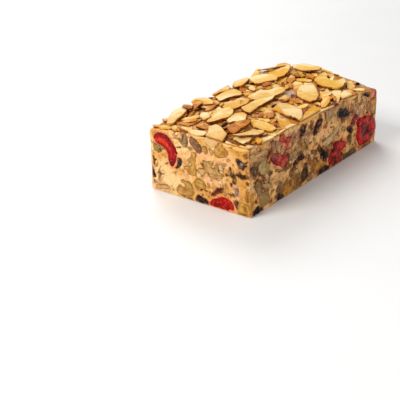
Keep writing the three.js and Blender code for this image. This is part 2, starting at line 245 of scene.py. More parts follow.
def filled(outline, gap, insets=(0.13, 0.3, 0.6)):
    """Points and triangles that fill an outline: the rim first, rows of points close inside it, then a mesh of
    that gap. Returns points, their depth inside the outline, triangles, and the rim's point numbers in order."""
    along = np.roll(outline, -1, 0) - np.roll(outline, 1, 0)
    along /= np.maximum(np.linalg.norm(along, axis=1), 1e-9)[:, None]
    inward = np.stack([-along[:, 1], along[:, 0]], 1)
    points = [outline]
    for d in insets:
        row = outline + inward * d
        row = row[-signed_distance(outline, row) > 0.93 * d]
        if len(row) > 3:
            points.append(row)
    low, high = outline.min(0), outline.max(0)
    gx, gy = np.meshgrid(np.arange(low[0], high[0], gap), np.arange(low[1], high[1], gap * 0.866), indexing="ij")
    gx = gx + np.where(np.arange(gy.shape[1]) % 2, gap / 2, 0)[None, :]
    grid = np.stack([gx.ravel(), gy.ravel()], 1)
    grid = grid[-signed_distance(outline, grid) > insets[-1] + 0.4 * gap]
    points.append(grid)
    p = np.concatenate(points)
    done = delaunay_2d_cdt([Vector(q) for q in p.tolist()], [], [list(range(len(outline)))], 1, 1e-5, True)
    q = np.array([tuple(c) for c in done[0]])
    back = {}
    for new, olds in enumerate(done[3]):
        for old in olds:
            back.setdefault(old, new)
    rim = [back[k] for k in range(len(outline))]
    tris = [f for f in done[2] if len(f) == 3]
    a, b, c = (q[[f[k] for f in tris]] for k in range(3))
    inside = signed_distance(outline, (a + b + c) / 3) < 0  # it also fills the outline's hollows
    tris, a, b, c = [f for f, keep in zip(tris, inside) if keep], a[inside], b[inside], c[inside]
    area = (b[:, 0] - a[:, 0]) * (c[:, 1] - a[:, 1]) - (b[:, 1] - a[:, 1]) * (c[:, 0] - a[:, 0])
    tris = [f if s > 0 else f[::-1] for f, s in zip(tris, area)]
    depth = np.maximum(-signed_distance(outline, q), 0)
    depth[rim] = 0
    return q, depth, tris, rim


# ------------------------------------------------------------------ meshes


class Batch:
    """Bodies gathered into one mesh, with a colour and numbers on each vertex."""

    def __init__(self):
        self.v, self.f, self.paint, self.numbers, self.count = [], [], [], {}, 0

    def add(self, verts, faces, paint, **numbers):
        self.f += [tuple(int(i) + self.count for i in f) for f in faces]
        self.v.append(verts)
        self.paint.append(paint)
        for k in set(self.numbers) | set(numbers):
            self.numbers.setdefault(k, [np.zeros(self.count)] if self.count else [])
            value = numbers.get(k, 0.0)
            self.numbers[k].append(np.broadcast_to(np.asarray(value, float), (len(verts),)))
        self.count += len(verts)


def build(name, batch, material, slot, replaces=(), uv=None):
    v = np.concatenate(batch.v) / 1000.0 + CORNER
    mesh = bpy.data.meshes.new(name)
    mesh.from_pydata(v.tolist(), [], batch.f)
    paint = np.concatenate(batch.paint)
    col = mesh.color_attributes.new("paint", "FLOAT_COLOR", "POINT")
    col.data.foreach_set("color", np.concatenate([paint, np.ones((len(paint), 1))], 1).astype(np.float32).ravel())
    for k, parts in batch.numbers.items():
        a = mesh.attributes.new(k, "FLOAT", "POINT")
        a.data.foreach_set("value", np.concatenate(parts).astype(np.float32))
    if uv is not None:
        layer = mesh.uv_layers.new(name="OFBake")
        layer.data.foreach_set("uv", uv.astype(np.float32).ravel())
    mesh.polygons.foreach_set("use_smooth", np.ones(len(mesh.polygons), bool))
    mesh.materials.append(material)
    mesh.update()
    obj = bpy.data.objects.new(name, mesh)
    bpy.context.scene.collection.objects.link(obj)
    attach(obj, "root")
    if replaces:
        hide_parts(*replaces)
    return obj


# ------------------------------------------------------------------ what is set into the faces

# Outlines as (u, v) points of a closed curve, measured on each face, in the nodes' places.
SET_IN = [
    ("cherry_01", "end", [(3.1, 33.0), (3.4, 34.9), (5.2, 36.7), (8.0, 37.9), (11.4, 37.6), (15.2, 36.1), (18.2, 33.4), (20.1, 30.2), (20.9, 28.8), (21.8, 27.6), (20.6, 26.6), (20.4, 24.5), (19.8, 22.2), (18.6, 19.8), (17.0, 18.2), (15.3, 18.4), (14.3, 20.2), (13.8, 22.6), (13.7, 25.2), (12.7, 27.3), (10.6, 29.0), (8.2, 29.9), (6.2, 30.3), (4.6, 31.2)]),
    ("cherry_02", "end", [(44.2, 0.7), (44.7, 3.0), (47.0, 5.2), (49.8, 6.3), (52.4, 7.9), (55.6, 8.2), (59.0, 7.3), (61.2, 5.3), (61.8, 2.9), (60.6, 1.1), (58.8, 1.6), (57.4, 0.5), (52.0, 0.3), (47.0, 0.3)]),
    ("walnut_01", "end", [(24.9, 41.0), (26.6, 41.7), (28.5, 40.8), (29.5, 38.4), (29.7, 35.8), (29.2, 33.8), (27.5, 32.9), (25.4, 33.4), (23.8, 34.8), (22.5, 36.6), (23.6, 37.5), (24.9, 37.4), (25.2, 39.0)]),
    ("walnut_02", "end", [(31.0, 37.8), (32.0, 40.0), (34.4, 40.3), (36.8, 38.1), (39.6, 35.9), (39.8, 33.7), (38.5, 31.4), (36.2, 31.2), (34.4, 33.0), (32.4, 34.8), (31.2, 36.1)]),
    ("walnut_03", "end", [(48.8, 33.1), (49.1, 35.4), (49.7, 38.0), (51.4, 39.4), (53.0, 41.6), (54.6, 41.0), (54.8, 38.9), (56.8, 37.7), (58.5, 36.5), (58.8, 34.4), (57.4, 32.9), (55.4, 32.4), (53.6, 31.8), (51.9, 31.5), (50.1, 31.9)]),
    ("walnut_04", "end", [(32.3, 30.6), (34.0, 30.9), (35.5, 30.2), (35.2, 27.4), (34.8, 24.5), (34.8, 21.5), (35.1, 18.7), (34.0, 16.7), (31.6, 15.9), (29.5, 16.1), (28.5, 17.6), (28.0, 19.1), (25.7, 18.9), (26.2, 20.4), (28.5, 21.6), (30.5, 22.0), (31.7, 23.2), (30.5, 24.1), (29.0, 24.4), (28.7, 25.7), (30.0, 26.6), (31.5, 27.6), (31.8, 29.2)]),
    ("walnut_05", "end", [(40.1, 27.5), (43.0, 27.4), (46.0, 28.3), (47.3, 26.6), (46.5, 25.0), (47.2, 24.2), (48.4, 24.9), (49.2, 26.7), (50.7, 27.1), (51.7, 25.5), (51.5, 23.3), (53.1, 22.5), (55.4, 21.8), (54.7, 20.1), (53.2, 18.9), (50.4, 18.6), (48.3, 17.9), (46.1, 18.2), (44.4, 19.0), (44.0, 20.4), (42.6, 20.3), (41.3, 19.4), (40.7, 18.2), (39.0, 17.8), (36.9, 18.5), (35.6, 20.0), (36.6, 21.7), (38.8, 22.5), (40.7, 23.2), (40.4, 25.2)]),
    ("walnut_06", "end", [(32.9, 11.6), (33.9, 13.9), (36.0, 15.1), (38.5, 15.2), (40.5, 14.3), (41.8, 12.4), (42.0, 10.4), (40.2, 9.3), (38.0, 8.7), (35.5, 8.9), (33.7, 9.8)]),
    ("walnut_07", "end", [(24.2, 11.8), (26.6, 11.1), (29.0, 11.7), (30.8, 10.1), (32.0, 8.0), (32.6, 5.4), (31.5, 3.3), (29.6, 2.1), (26.6, 1.7), (23.8, 1.5), (21.2, 1.3), (19.6, 2.5), (19.2, 4.4), (20.5, 6.4), (22.1, 8.0), (23.3, 7.5), (24.4, 6.6), (25.8, 6.9), (25.6, 8.6), (24.2, 9.6), (22.9, 10.4)]),
    ("raisin_01", "end", [(0.5, 14.7), (1.6, 13.7), (2.2, 11.6), (3.1, 9.8), (2.6, 8.2), (0.6, 7.7), (0.4, 11.0)]),
    ("raisin_02", "end", [(33.5, 1.7), (34.3, 3.7), (36.0, 5.0), (38.4, 4.3), (41.4, 3.6), (42.9, 1.9), (42.6, 0.3), (37.0, 0.3), (34.0, 0.4)]),
    ("raisin_03", "end", [(45.0, 7.0), (46.1, 8.9), (48.3, 10.8), (50.3, 12.9), (53.0, 13.7), (54.7, 12.7), (53.9, 10.8), (51.4, 9.8), (49.8, 8.5), (47.4, 6.9)]),
    ("raisin_04", "end", [(63.5, 32.3), (64.1, 33.9), (66.3, 34.0), (68.0, 32.7), (69.6, 31.3), (71.7, 31.3), (69.9, 29.8), (68.8, 28.1), (66.8, 28.4), (65.0, 29.6), (64.2, 31.0)]),
    ("raisin_05", "end", [(63.4, 24.9), (65.2, 25.5), (66.6, 26.8), (68.2, 25.3), (70.2, 25.8), (72.3, 25.1), (72.6, 23.4), (70.6, 23.0), (68.6, 22.1), (66.6, 22.1), (65.0, 23.4), (63.2, 23.5)]),
    ("peel_01", "end", [(65.1, 4.6), (66.1, 7.7), (69.2, 8.1), (72.5, 7.3), (72.8, 3.0), (71.8, 0.5), (66.0, 0.4), (64.8, 2.0)]),
    ("cherry_03", "side", [(20.4, 34.2), (21.5, 32.9), (23.0, 31.6), (25.0, 30.0), (27.2, 28.3), (30.0, 27.4), (33.2, 27.4), (35.8, 25.6), (37.5, 23.4), (36.7, 21.4), (35.2, 19.8), (32.6, 19.5), (30.5, 20.3), (28.3, 21.6), (25.4, 23.0), (22.8, 24.7), (20.9, 26.7), (20.1, 29.4), (19.9, 32.0)]),
    ("cherry_04", "side", [(28.5, 36.3), (29.5, 38.6), (32.2, 39.3), (33.9, 38.6), (35.5, 37.1), (37.8, 36.3), (39.4, 34.4), (38.4, 32.4), (36.8, 30.8), (35.2, 30.3), (34.4, 31.6), (35.2, 33.0), (34.0, 34.0), (31.5, 34.9)]),
    ("cherry_05", "side", [(87.6, 14.8), (89.3, 16.7), (92.4, 15.9), (95.6, 15.3), (98.8, 13.7), (101.8, 12.9), (104.2, 11.2), (103.4, 8.9), (101.0, 7.9), (98.4, 7.5), (99.7, 5.2), (99.0, 2.6), (96.6, 0.6), (93.2, 0.4), (89.3, 0.6), (86.1, 2.2), (83.7, 3.8), (82.1, 6.0), (83.1, 8.6), (85.3, 10.6), (87.0, 12.6)]),
    ("cherry_06", "side", [(115.8, 21.6), (118.4, 22.0), (122.0, 22.3), (126.4, 22.5), (130.6, 21.7), (134.6, 20.5), (138.4, 18.4), (141.3, 15.6), (142.6, 12.4), (142.4, 9.0), (141.0, 6.3), (138.2, 4.1), (134.4, 2.5), (130.0, 2.3), (126.0, 2.5), (122.0, 3.0), (119.9, 4.8), (118.3, 7.4), (116.5, 10.0), (116.4, 12.6), (117.8, 14.6), (118.4, 17.0), (117.0, 19.2)]),
    ("cherry_07", "side", [(108.8, 22.2), (110.2, 24.5), (112.6, 26.4), (115.2, 27.3), (117.5, 25.7), (118.4, 23.5), (115.6, 22.6), (114.2, 20.9), (111.8, 20.7)]),
    ("cherry_08", "side", [(133.5, 33.6), (134.7, 36.1), (137.0, 37.5), (139.5, 37.1), (141.2, 35.0), (141.3, 32.6), (139.6, 31.7), (137.0, 31.9), (134.7, 32.1)]),
    ("walnut_08", "side", [(0.4, 33.6), (0.3, 36.2), (1.2, 37.8), (4.5, 37.9), (9.0, 37.0), (13.0, 36.7), (16.5, 36.0), (17.8, 34.0), (17.0, 32.1), (14.6, 32.4), (12.4, 33.3), (8.0, 32.6), (4.0, 32.8)]),
    ("walnut_09", "side", [(8.3, 29.0), (11.5, 30.6), (14.6, 29.7), (17.4, 27.5), (19.7, 25.2), (18.5, 22.8), (17.0, 21.5), (14.2, 21.3), (12.4, 21.9), (10.3, 22.9), (9.1, 25.4), (8.0, 27.0)]),
    ("walnut_10", "side", [(4.3, 18.0), (6.3, 19.8), (8.5, 19.5), (9.9, 17.6), (10.5, 15.0), (11.5, 12.4), (14.6, 10.7), (17.5, 9.5), (18.7, 6.7), (19.5, 4.2), (17.7, 2.5), (13.0, 2.2), (9.9, 3.5), (8.6, 6.0), (9.3, 8.6), (8.5, 10.6), (6.7, 12.4), (5.5, 14.4), (4.9, 16.2)]),
    ("walnut_11", "side", [(74.7, 19.3), (76.8, 21.1), (80.8, 22.3), (85.4, 23.7), (89.6, 25.3), (93.6, 26.7), (96.7, 27.4), (97.6, 26.0), (95.7, 23.5), (93.6, 21.5), (91.2, 20.5), (88.0, 18.3), (84.4, 17.1), (80.4, 16.7), (77.2, 17.5)]),
    ("walnut_12", "side", [(78.5, 38.6), (79.0, 31.1), (80.4, 30.6), (83.2, 33.4), (86.0, 35.4), (86.4, 37.6), (83.2, 39.2), (80.0, 39.6)]),
    ("raisin_06", "side", [(2.5, 1.9), (4.3, 3.9), (7.4, 4.8), (9.7, 3.3), (11.9, 1.7), (12.6, 0.3), (7.0, 0.2), (3.0, 0.3)]),
    ("raisin_07", "side", [(50.0, 35.3), (50.3, 37.7), (52.4, 39.1), (54.5, 38.7), (55.9, 36.8), (55.9, 34.0), (53.6, 32.3), (51.0, 32.1), (49.0, 32.7), (49.7, 34.0)]),
    ("raisin_08", "side", [(63.8, 30.3), (64.9, 32.8), (66.3, 35.4), (69.0, 37.1), (71.6, 37.9), (73.8, 37.3), (74.4, 34.6), (73.2, 32.3), (71.2, 31.3), (69.6, 29.1), (67.6, 27.6), (65.2, 28.3)]),
    ("raisin_09", "side", [(41.3, 17.3), (43.3, 18.9), (46.4, 20.1), (48.8, 21.6), (51.6, 21.6), (54.3, 20.5), (54.7, 17.7), (52.2, 16.9), (49.6, 17.1), (47.6, 16.1), (45.4, 16.3), (43.2, 16.6)]),
    ("raisin_10", "side", [(68.4, 18.6), (70.6, 20.0), (72.7, 18.9), (75.1, 16.7), (77.5, 14.7), (79.9, 13.1), (81.9, 11.5), (83.3, 10.5), (82.1, 8.7), (79.4, 7.2), (77.1, 7.7), (75.1, 9.3), (72.6, 11.1), (72.5, 13.2), (71.0, 15.4), (69.2, 16.8)]),
    ("raisin_11", "side", [(93.6, 36.5), (95.4, 36.5), (98.4, 35.5), (101.6, 34.9), (104.6, 33.1), (106.8, 31.5), (108.4, 30.2), (106.6, 28.7), (103.6, 28.7), (100.4, 29.5), (97.4, 29.9), (94.0, 30.7), (92.4, 32.5), (94.3, 34.0)]),
    ("raisin_12", "side", [(122.4, 37.7), (125.0, 38.5), (128.0, 38.0), (131.0, 36.5), (132.5, 34.6), (131.3, 33.6), (129.0, 34.4), (126.5, 35.7), (124.0, 36.4)]),
    ("raisin_13", "side", [(104.1, 21.0), (106.6, 21.3), (108.8, 20.5), (110.8, 18.7), (112.5, 17.0), (110.8, 15.3), (108.5, 15.7), (106.3, 17.3), (104.3, 19.3)]),
    ("raisin_14", "side", [(71.0, 2.2), (73.6, 3.8), (77.0, 4.2), (80.4, 3.9), (83.0, 2.4), (82.6, 0.6), (78.0, 0.3), (73.0, 0.4)]),
    ("peel_02", "side", [(31.6, 3.0), (31.2, 5.6), (32.4, 8.2), (35.0, 9.8), (38.4, 9.4), (42.0, 9.3), (46.0, 9.9), (49.0, 10.4), (50.6, 8.8), (50.0, 5.6), (50.8, 3.0), (48.0, 1.3), (42.0, 0.9), (36.0, 0.5), (33.0, 1.0)]),
    ("peel_03", "side", [(61.4, 10.0), (64.4, 12.5), (67.2, 12.5), (69.0, 9.9), (72.2, 7.4), (73.6, 4.6), (71.0, 4.3), (67.3, 5.1), (63.5, 6.3), (61.0, 7.8)]),
    ("peel_04", "side", [(127.8, 27.0), (129.3, 29.7), (132.6, 30.9), (136.0, 30.3), (139.4, 31.2), (141.3, 29.0), (140.9, 26.5), (138.0, 25.1), (134.5, 24.3), (130.9, 24.3), (128.8, 25.2)]),
]

# Smaller bits in the two cut faces, only here: kind, face, outline and its own colour if it has one. The almonds
# are slices that the knife cut through at the top edges.
BITS = [
    ("walnut", "end", [(2.4, 28.4), (3.6, 30.2), (6.5, 29.9), (9.4, 29.0), (11.8, 27.8), (9.9, 27.2), (8.7, 25.8), (6.7, 24.9), (4.5, 25.4), (2.9, 26.9)], (0.36, 0.22, 0.055)),
    ("raisin", "end", [(18.5, 18.1), (19.9, 19.4), (20.9, 21.4), (21.4, 23.8), (23.4, 24.3), (24.7, 23.4), (24.1, 21.3), (22.6, 19.3), (21.0, 17.9), (19.5, 17.4)], (0.03, 0.02, 0.026)),
    ("skin", "end", [(21.0, 23.2), (21.4, 24.8), (23.2, 24.9), (24.6, 23.8), (23.2, 23.6)]),
    ("skin", "end", [(1.5, 22.2), (2.7, 22.0), (3.0, 20.6), (4.6, 20.0), (3.3, 18.6), (3.0, 16.6), (1.8, 16.2), (1.7, 18.8)]),
    ("skin", "end", [(6.0, 14.6), (6.7, 14.4), (6.9, 12.6), (8.6, 11.9), (10.4, 12.1), (9.2, 11.3), (7.4, 10.9), (7.2, 9.6), (6.2, 10.6), (4.6, 11.3), (3.4, 11.2), (5.2, 12.3)]),
    ("walnut", "end", [(39.9, 34.5), (40.6, 36.1), (42.4, 36.5), (43.9, 35.2), (43.9, 33.0), (42.8, 31.7), (41.5, 32.5), (40.3, 33.2)], (0.6, 0.31, 0.085)),
    ("walnut", "end", [(45.1, 35.2), (46.4, 35.5), (47.9, 34.6), (47.7, 32.6), (46.8, 31.5), (46.1, 33.0), (45.3, 33.8)], (0.62, 0.32, 0.09)),
    ("skin", "end", [(59.1, 27.5), (60.7, 27.3), (60.5, 24.9), (61.9, 23.5), (63.2, 22.9), (63.7, 20.0), (62.7, 18.1), (61.2, 18.7), (61.0, 21.1), (59.5, 22.5), (58.7, 24.8)]),
    ("skin", "end", [(59.6, 18.2), (60.6, 18.0), (61.0, 16.4), (60.0, 15.9), (59.4, 17.0)]),
    ("walnut", "end", [(62.8, 11.2), (62.5, 13.7), (63.5, 16.3), (65.2, 15.9), (64.9, 13.0), (64.2, 11.4)], (0.36, 0.19, 0.12)),
    ("raisin", "end", [(61.3, 7.5), (63.2, 8.5), (65.1, 7.8), (64.7, 5.2), (63.8, 3.1), (62.7, 4.6), (61.7, 6.0)], (0.16, 0.05, 0.03)),
    ("walnut", "end", [(42.4, 13.8), (43.7, 14.3), (44.9, 12.9), (44.2, 11.2), (42.8, 11.3), (42.9, 12.4)]),
    ("skin", "end", [(37.0, 8.5), (38.0, 9.4), (39.5, 9.5), (39.2, 8.6), (38.0, 8.0)]),
    ("skin", "end", [(40.4, 9.1), (41.8, 9.5), (43.3, 8.8), (42.2, 8.4), (41.0, 8.5)]),
    ("skin", "end", [(21.9, 1.1), (24.0, 1.7), (26.4, 1.2), (25.8, 0.6), (23.6, 0.9)]),
    ("skin", "end", [(26.8, 1.1), (29.2, 1.2), (31.2, 1.0), (30.8, 0.5), (28.0, 0.5)]),
    ("peel", "end", [(55.2, 16.0), (55.8, 17.2), (57.0, 16.9), (57.2, 15.6), (56.0, 15.1)]),
    ("peel", "end", [(69.9, 9.6), (69.6, 12.4), (70.6, 15.6), (72.4, 16.0), (72.6, 12.8), (72.4, 9.4), (71.0, 8.8)]),
    ("peel", "end", [(68.4, 36.6), (70.2, 38.2), (72.2, 38.4), (72.4, 35.6), (70.4, 35.0)]),
    ("walnut", "end", [(17.2, 38.3), (19.0, 39.0), (21.0, 38.6), (22.8, 39.5), (21.2, 37.8), (19.0, 37.9)]),
    ("walnut", "end", [(17.8, 37.2), (20.0, 37.0), (22.6, 37.3), (23.0, 36.7), (20.2, 36.3)]),
    ("skin", "end", [(20.4, 31.4), (22.2, 31.8), (24.6, 32.6), (24.0, 31.8), (22.0, 30.9)]),
    ("skin", "end", [(11.0, 18.4), (12.6, 19.8), (14.0, 20.2), (12.8, 18.8)]),
    ("peel", "end", [(42.4, 5.4), (43.4, 6.4), (44.4, 6.0), (43.8, 4.9)]),
    ("skin", "end", [(45.4, 16.9), (46.4, 16.9), (46.6, 16.2), (45.7, 16.2)]),
    ("walnut", "end", [(3.0, 3.2), (7.6, 4.4), (12.4, 5.0), (13.6, 3.6), (8.4, 1.6), (4.0, 1.4)], (0.70, 0.40, 0.14)),
    ("walnut", "end", [(56.8, 31.4), (58.8, 32.8), (59.6, 31.6), (58.0, 30.2)]),
    ("skin", "end", [(68.9, 32.0), (70.4, 32.9), (72.3, 34.2), (71.6, 33.0), (70.4, 31.9)]),
    ("skin", "end", [(70.3, 20.8), (71.6, 21.6), (72.4, 20.4), (71.4, 19.2)]),
    ("walnut", "end", [(70.6, 26.4), (72.4, 27.6), (72.6, 29.8), (71.0, 29.2)]),
    ("skin", "end", [(0.7, 6.4), (1.8, 6.0), (2.4, 4.6), (1.2, 4.8)]),
    ("walnut", "side", [(7.5, 31.2), (9.2, 32.2), (12.2, 32.6), (14.8, 31.9), (16.0, 30.6), (13.6, 31.0), (10.6, 30.9), (8.6, 30.2)], (0.62, 0.36, 0.15)),
    ("raisin", "side", [(0.6, 30.0), (3.0, 30.2), (5.6, 29.2), (8.0, 27.6), (6.0, 26.2), (3.0, 26.6), (0.8, 27.8)], (0.12, 0.072, 0.042)),
    ("skin", "side", [(5.0, 25.6), (9.0, 23.8), (12.4, 21.6), (14.8, 18.8), (14.0, 18.6), (11.6, 20.8), (8.4, 22.8), (4.8, 24.6)]),
    ("walnut", "side", [(11.3, 17.0), (13.6, 16.4), (17.0, 15.3), (20.1, 13.6), (21.7, 11.2), (19.4, 11.3), (16.5, 12.4), (13.5, 13.4), (11.9, 14.8)], (0.48, 0.3, 0.11)),
    ("raisin", "side", [(26.1, 2.8), (28.4, 4.0), (31.0, 3.3), (33.0, 1.5), (33.0, 0.3), (27.0, 0.3), (25.9, 1.2)], (0.028, 0.018, 0.022)),
    ("peel", "side", [(25.4, 7.3), (27.2, 10.4), (29.8, 11.3), (31.6, 10.4), (31.4, 7.6), (30.0, 5.4), (27.3, 5.0), (25.6, 5.8)], (0.2, 0.098, 0.04)),
    ("raisin", "side", [(51.8, 3.1), (51.2, 5.6), (51.8, 8.8), (53.6, 10.7), (56.8, 10.3), (58.9, 7.6), (58.6, 4.8), (56.4, 3.2), (53.8, 2.4)], (0.095, 0.046, 0.018)),
    ("skin", "side", [(55.0, 13.5), (58.0, 13.2), (60.6, 11.9), (63.0, 11.3), (62.6, 10.8), (60.2, 11.0), (57.6, 12.3)]),
    ("skin", "side", [(65.4, 13.5), (68.0, 13.2), (69.8, 11.0), (72.4, 8.8), (73.2, 7.8), (71.2, 8.6), (69.0, 10.3), (67.4, 12.5)]),
    ("skin", "side", [(61.7, 19.9), (63.4, 19.4), (65.4, 18.2), (66.9, 17.0), (65.8, 16.2), (63.5, 17.1), (61.8, 18.5)]),
    ("skin", "side", [(58.6, 17.4), (60.2, 17.8), (60.8, 16.4), (59.2, 15.8)]),
    ("skin", "side", [(83.2, 28.0), (84.6, 28.2), (86.3, 27.3), (85.2, 26.8), (83.6, 27.3)]),
    ("raisin", "side", [(86.0, 40.2), (88.6, 41.6), (91.2, 41.2), (92.9, 39.8), (90.4, 39.4), (88.0, 39.4)], (0.17, 0.045, 0.03)),
    ("raisin", "side", [(105.0, 15.2), (107.6, 15.2), (109.6, 13.8), (110.2, 11.0), (108.0, 10.6), (106.4, 12.6)], (0.2, 0.105, 0.035)),
    ("raisin", "side", [(100.3, 4.2), (104.0, 3.9), (108.0, 3.1), (112.6, 3.7), (116.0, 1.7), (112.0, 0.4), (104.0, 0.4), (100.9, 1.5)], (0.17, 0.095, 0.04)),
    ("walnut", "side", [(118.7, 31.8), (120.5, 34.9), (123.2, 35.3), (124.1, 33.1), (122.2, 31.3)], (0.34, 0.15, 0.07)),
    ("skin", "side", [(128.2, 23.6), (130.2, 24.3), (131.9, 23.2), (130.2, 22.9)]),
    ("walnut", "side", [(134.6, 31.6), (137.4, 31.4), (140.2, 31.3), (138.0, 30.7), (135.4, 30.7)]),
    ("skin", "side", [(70.2, 39.6), (72.4, 39.2), (73.9, 37.9), (72.2, 38.2)]),
    ("walnut", "side", [(24.6, 20.6), (27.2, 20.2), (29.0, 18.8), (26.8, 18.4), (24.2, 19.2)]),
    ("skin", "side", [(18.2, 21.0), (20.4, 20.6), (21.4, 19.4), (19.6, 19.2), (17.8, 20.0)]),
    ("skin", "side", [(35.6, 18.6), (37.2, 20.0), (39.6, 19.2), (40.2, 17.6), (37.6, 17.2)]),
    ("raisin", "side", [(47.4, 22.6), (50.2, 23.2), (52.4, 22.4), (50.0, 21.9)], (0.22, 0.15, 0.09)),
    ("walnut", "side", [(100.6, 20.4), (102.8, 20.7), (104.0, 19.8), (102.2, 19.3)]),
    ("peel", "side", [(0.6, 5.4), (0.4, 10.6), (1.2, 14.2), (3.0, 14.0), (3.8, 10.0), (3.0, 6.0)]),
    ("peel", "side", [(70.4, 9.8), (73.0, 10.2), (75.4, 8.4), (77.4, 6.0), (74.6, 5.6), (71.6, 7.4)]),
    ("peel", "side", [(140.6, 6.6), (142.4, 7.8), (142.6, 4.0), (140.8, 2.4), (139.0, 3.2)]),
    ("skin", "side", [(92.2, 19.2), (94.0, 20.2), (93.2, 21.0), (91.6, 20.2)]),
    ("walnut", "side", [(110.2, 38.6), (112.8, 39.2), (114.0, 37.6), (111.2, 36.8)]),
    ("walnut", "side", [(97.6, 22.6), (100.4, 23.4), (101.6, 21.4), (98.6, 20.8)]),
    ("skin", "side", [(44.0, 14.6), (46.4, 14.2), (47.6, 12.8), (45.0, 13.2)]),
    ("almond", "end", [(42.0, 41.6), (41.2, 40.9), (43.2, 38.6), (47.0, 36.9), (50.6, 39.9), (52.8, 41.1)], (0.72, 0.45, 0.19)),
    ("almond", "end", [(32.4, 41.2), (33.2, 40.4), (36.4, 39.4), (41.6, 41.0), (41.9, 41.6)], (0.88, 0.58, 0.22)),
    ("almond", "end", [(55.5, 39.5), (58.6, 39.1), (62.1, 40.5), (62.9, 40.8), (55.0, 41.1), (54.7, 40.9)], (0.86, 0.6, 0.28)),
    ("almond", "end", [(63.2, 38.6), (67.1, 38.6), (72.7, 40.0), (72.6, 40.9), (63.7, 40.9), (61.5, 39.8)], (0.84, 0.53, 0.18)),
    ("almond", "side", [(49.1, 41.0), (51.9, 39.6), (55.8, 38.8), (63.6, 39.0), (69.0, 39.7), (70.6, 41.1), (69.8, 41.6)], (0.80, 0.42, 0.10)),
    ("almond", "side", [(39.0, 38.3), (41.1, 40.0), (41.1, 41.1), (38.9, 41.1), (37.8, 39.2)], (0.82, 0.48, 0.17)),
    ("almond", "side", [(102.7, 40.6), (107.5, 38.5), (114.8, 38.4), (111.9, 40.0)], (0.84, 0.53, 0.18)),
]

rng = np.random.default_rng(20)


def crosses(loop):
    """Whether a closed outline runs over itself."""
    a, b = loop[:, None], np.roll(loop, -1, 0)[:, None]
    c, d = loop[None], np.roll(loop, -1, 0)[None]

    def side_of(p, q, r):
        return (q[..., 0] - p[..., 0]) * (r[..., 1] - p[..., 1]) - (q[..., 1] - p[..., 1]) * (r[..., 0] - p[..., 0])

    over = (side_of(a, b, c) * side_of(a, b, d) < 0) & (side_of(c, d, a) * side_of(c, d, b) < 0)
    return bool(over.any())


def outline_of(name, points):
    seed = sum(ord(c) * (i + 3) for i, c in enumerate(name)) % 9973
    kind = name.split("_")[0]
    rag = {"raisin": 0.48, "walnut": 0.32, "peel": 0.26, "skin": 0.26, "cherry": 0.22, "almond": 0.12}[kind]
    p = np.asarray(points, float)
    area = abs((p[:, 0] * np.roll(p[:, 1], -1) - p[:, 1] * np.roll(p[:, 0], -1)).sum()) / 2
    rag *= min(1.0, max(0.25, math.sqrt(area / math.pi) / 2.0))
    loop = ragged(spline(points), rag, seed)
    while crosses(loop) and rag > 0.02:
        rag *= 0.6
        loop = ragged(spline(points), rag, seed)
    return loop


PIECES = []  # name, kind, face, outline
for name, face, points in SET_IN:
    PIECES.append([name, name.split("_")[0], face, outline_of(name, points)])
OWN = {}  # colours of bits that have their own
for k, (kind, face, points, *colour) in enumerate(BITS):
    name = f"{kind}_bit_{k}"
    PIECES.append([name, kind, face, outline_of(name, points)])
    if colour:
        OWN[name] = colour[0]

# The hidden back and far end hold the same kinds: the shapes above, turned and strewn.
SHAPES = {kind: [p for n, f, p in SET_IN if n.startswith(kind) and n != "raisin_01"] for kind in ("cherry", "walnut", "raisin", "peel")}
SHAPES["skin"] = [bit[2] for bit in BITS if bit[0] == "skin"]


def strew(face, wide, high, counts, clear):
    """Lays shapes on a face at random, clear of one another and of the pieces it has."""
    taken = [p[3] for p in PIECES if p[2] == face]
    for kind, count, low_size, high_size in counts:
        made = 0
        for _ in range(900):
            if made == count:
                break
            source = np.array(SHAPES[kind][int(rng.integers(len(SHAPES[kind])))])
            source = source - source.mean(0)
            if rng.random() < 0.5:
                source = source[::-1] * (-1, 1)
            shape = turned(source * rng.uniform(low_size, high_size), rng.uniform(0, 360) if kind == "skin" else rng.uniform(-60, 60), 0, 0)
            reach = shape.max(0) - shape.min(0)
            at = np.array([rng.uniform(1.2, wide - 1.2), rng.uniform(0.6, high - 1.2)])
            shape = shape - (shape.max(0) + shape.min(0)) / 2 + at
            if shape[:, 0].min() < 0.8 + 3.2 * (face == "back") or shape[:, 0].max() > wide - 4.0 or shape[:, 1].min() < 0.4 or shape[:, 1].max() > high - 1.0:
                continue
            low, high_ = shape.min(0) - clear, shape.max(0) + clear
            near = [t for t in taken if (t.max(0) > low).all() and (t.min(0) < high_).all()]
            if any(signed_distance(t, shape).min() < clear or signed_distance(shape, t).min() < clear for t in near):
                continue
            made += 1
            name = f"{kind}_{face}_{made}_{int(low_size * 100)}"
            outline = outline_of(name, shape)
            taken.append(outline)
            PIECES.append([name, kind, face, outline])


strew("back", LENGTH, 40.5, [("cherry", 6, 0.8, 1.05), ("walnut", 14, 0.75, 1.05), ("raisin", 13, 0.8, 1.05), ("peel", 7, 0.7, 1.0), ("walnut", 10, 0.3, 0.5)], 0.6)
strew("far", WIDTH, 36.5, [("cherry", 3, 0.7, 1.0), ("walnut", 8, 0.75, 1.0), ("raisin", 7, 0.8, 1.0), ("peel", 4, 0.7, 1.0), ("walnut", 6, 0.3, 0.5)], 0.6)
strew("end", WIDTH, 39.5, [("walnut", 7, 0.14, 0.26), ("skin", 7, 0.25, 0.6)], 0.35)
strew("side", LENGTH, 38.5, [("walnut", 14, 0.14, 0.3), ("skin", 14, 0.3, 0.8)], 0.35)
strew("back", LENGTH, 40.5, [("walnut", 12, 0.14, 0.3), ("skin", 24, 0.3, 0.9)], 0.35)
strew("far", WIDTH, 36.5, [("walnut", 6, 0.14, 0.3), ("skin", 11, 0.3, 0.9)], 0.35)

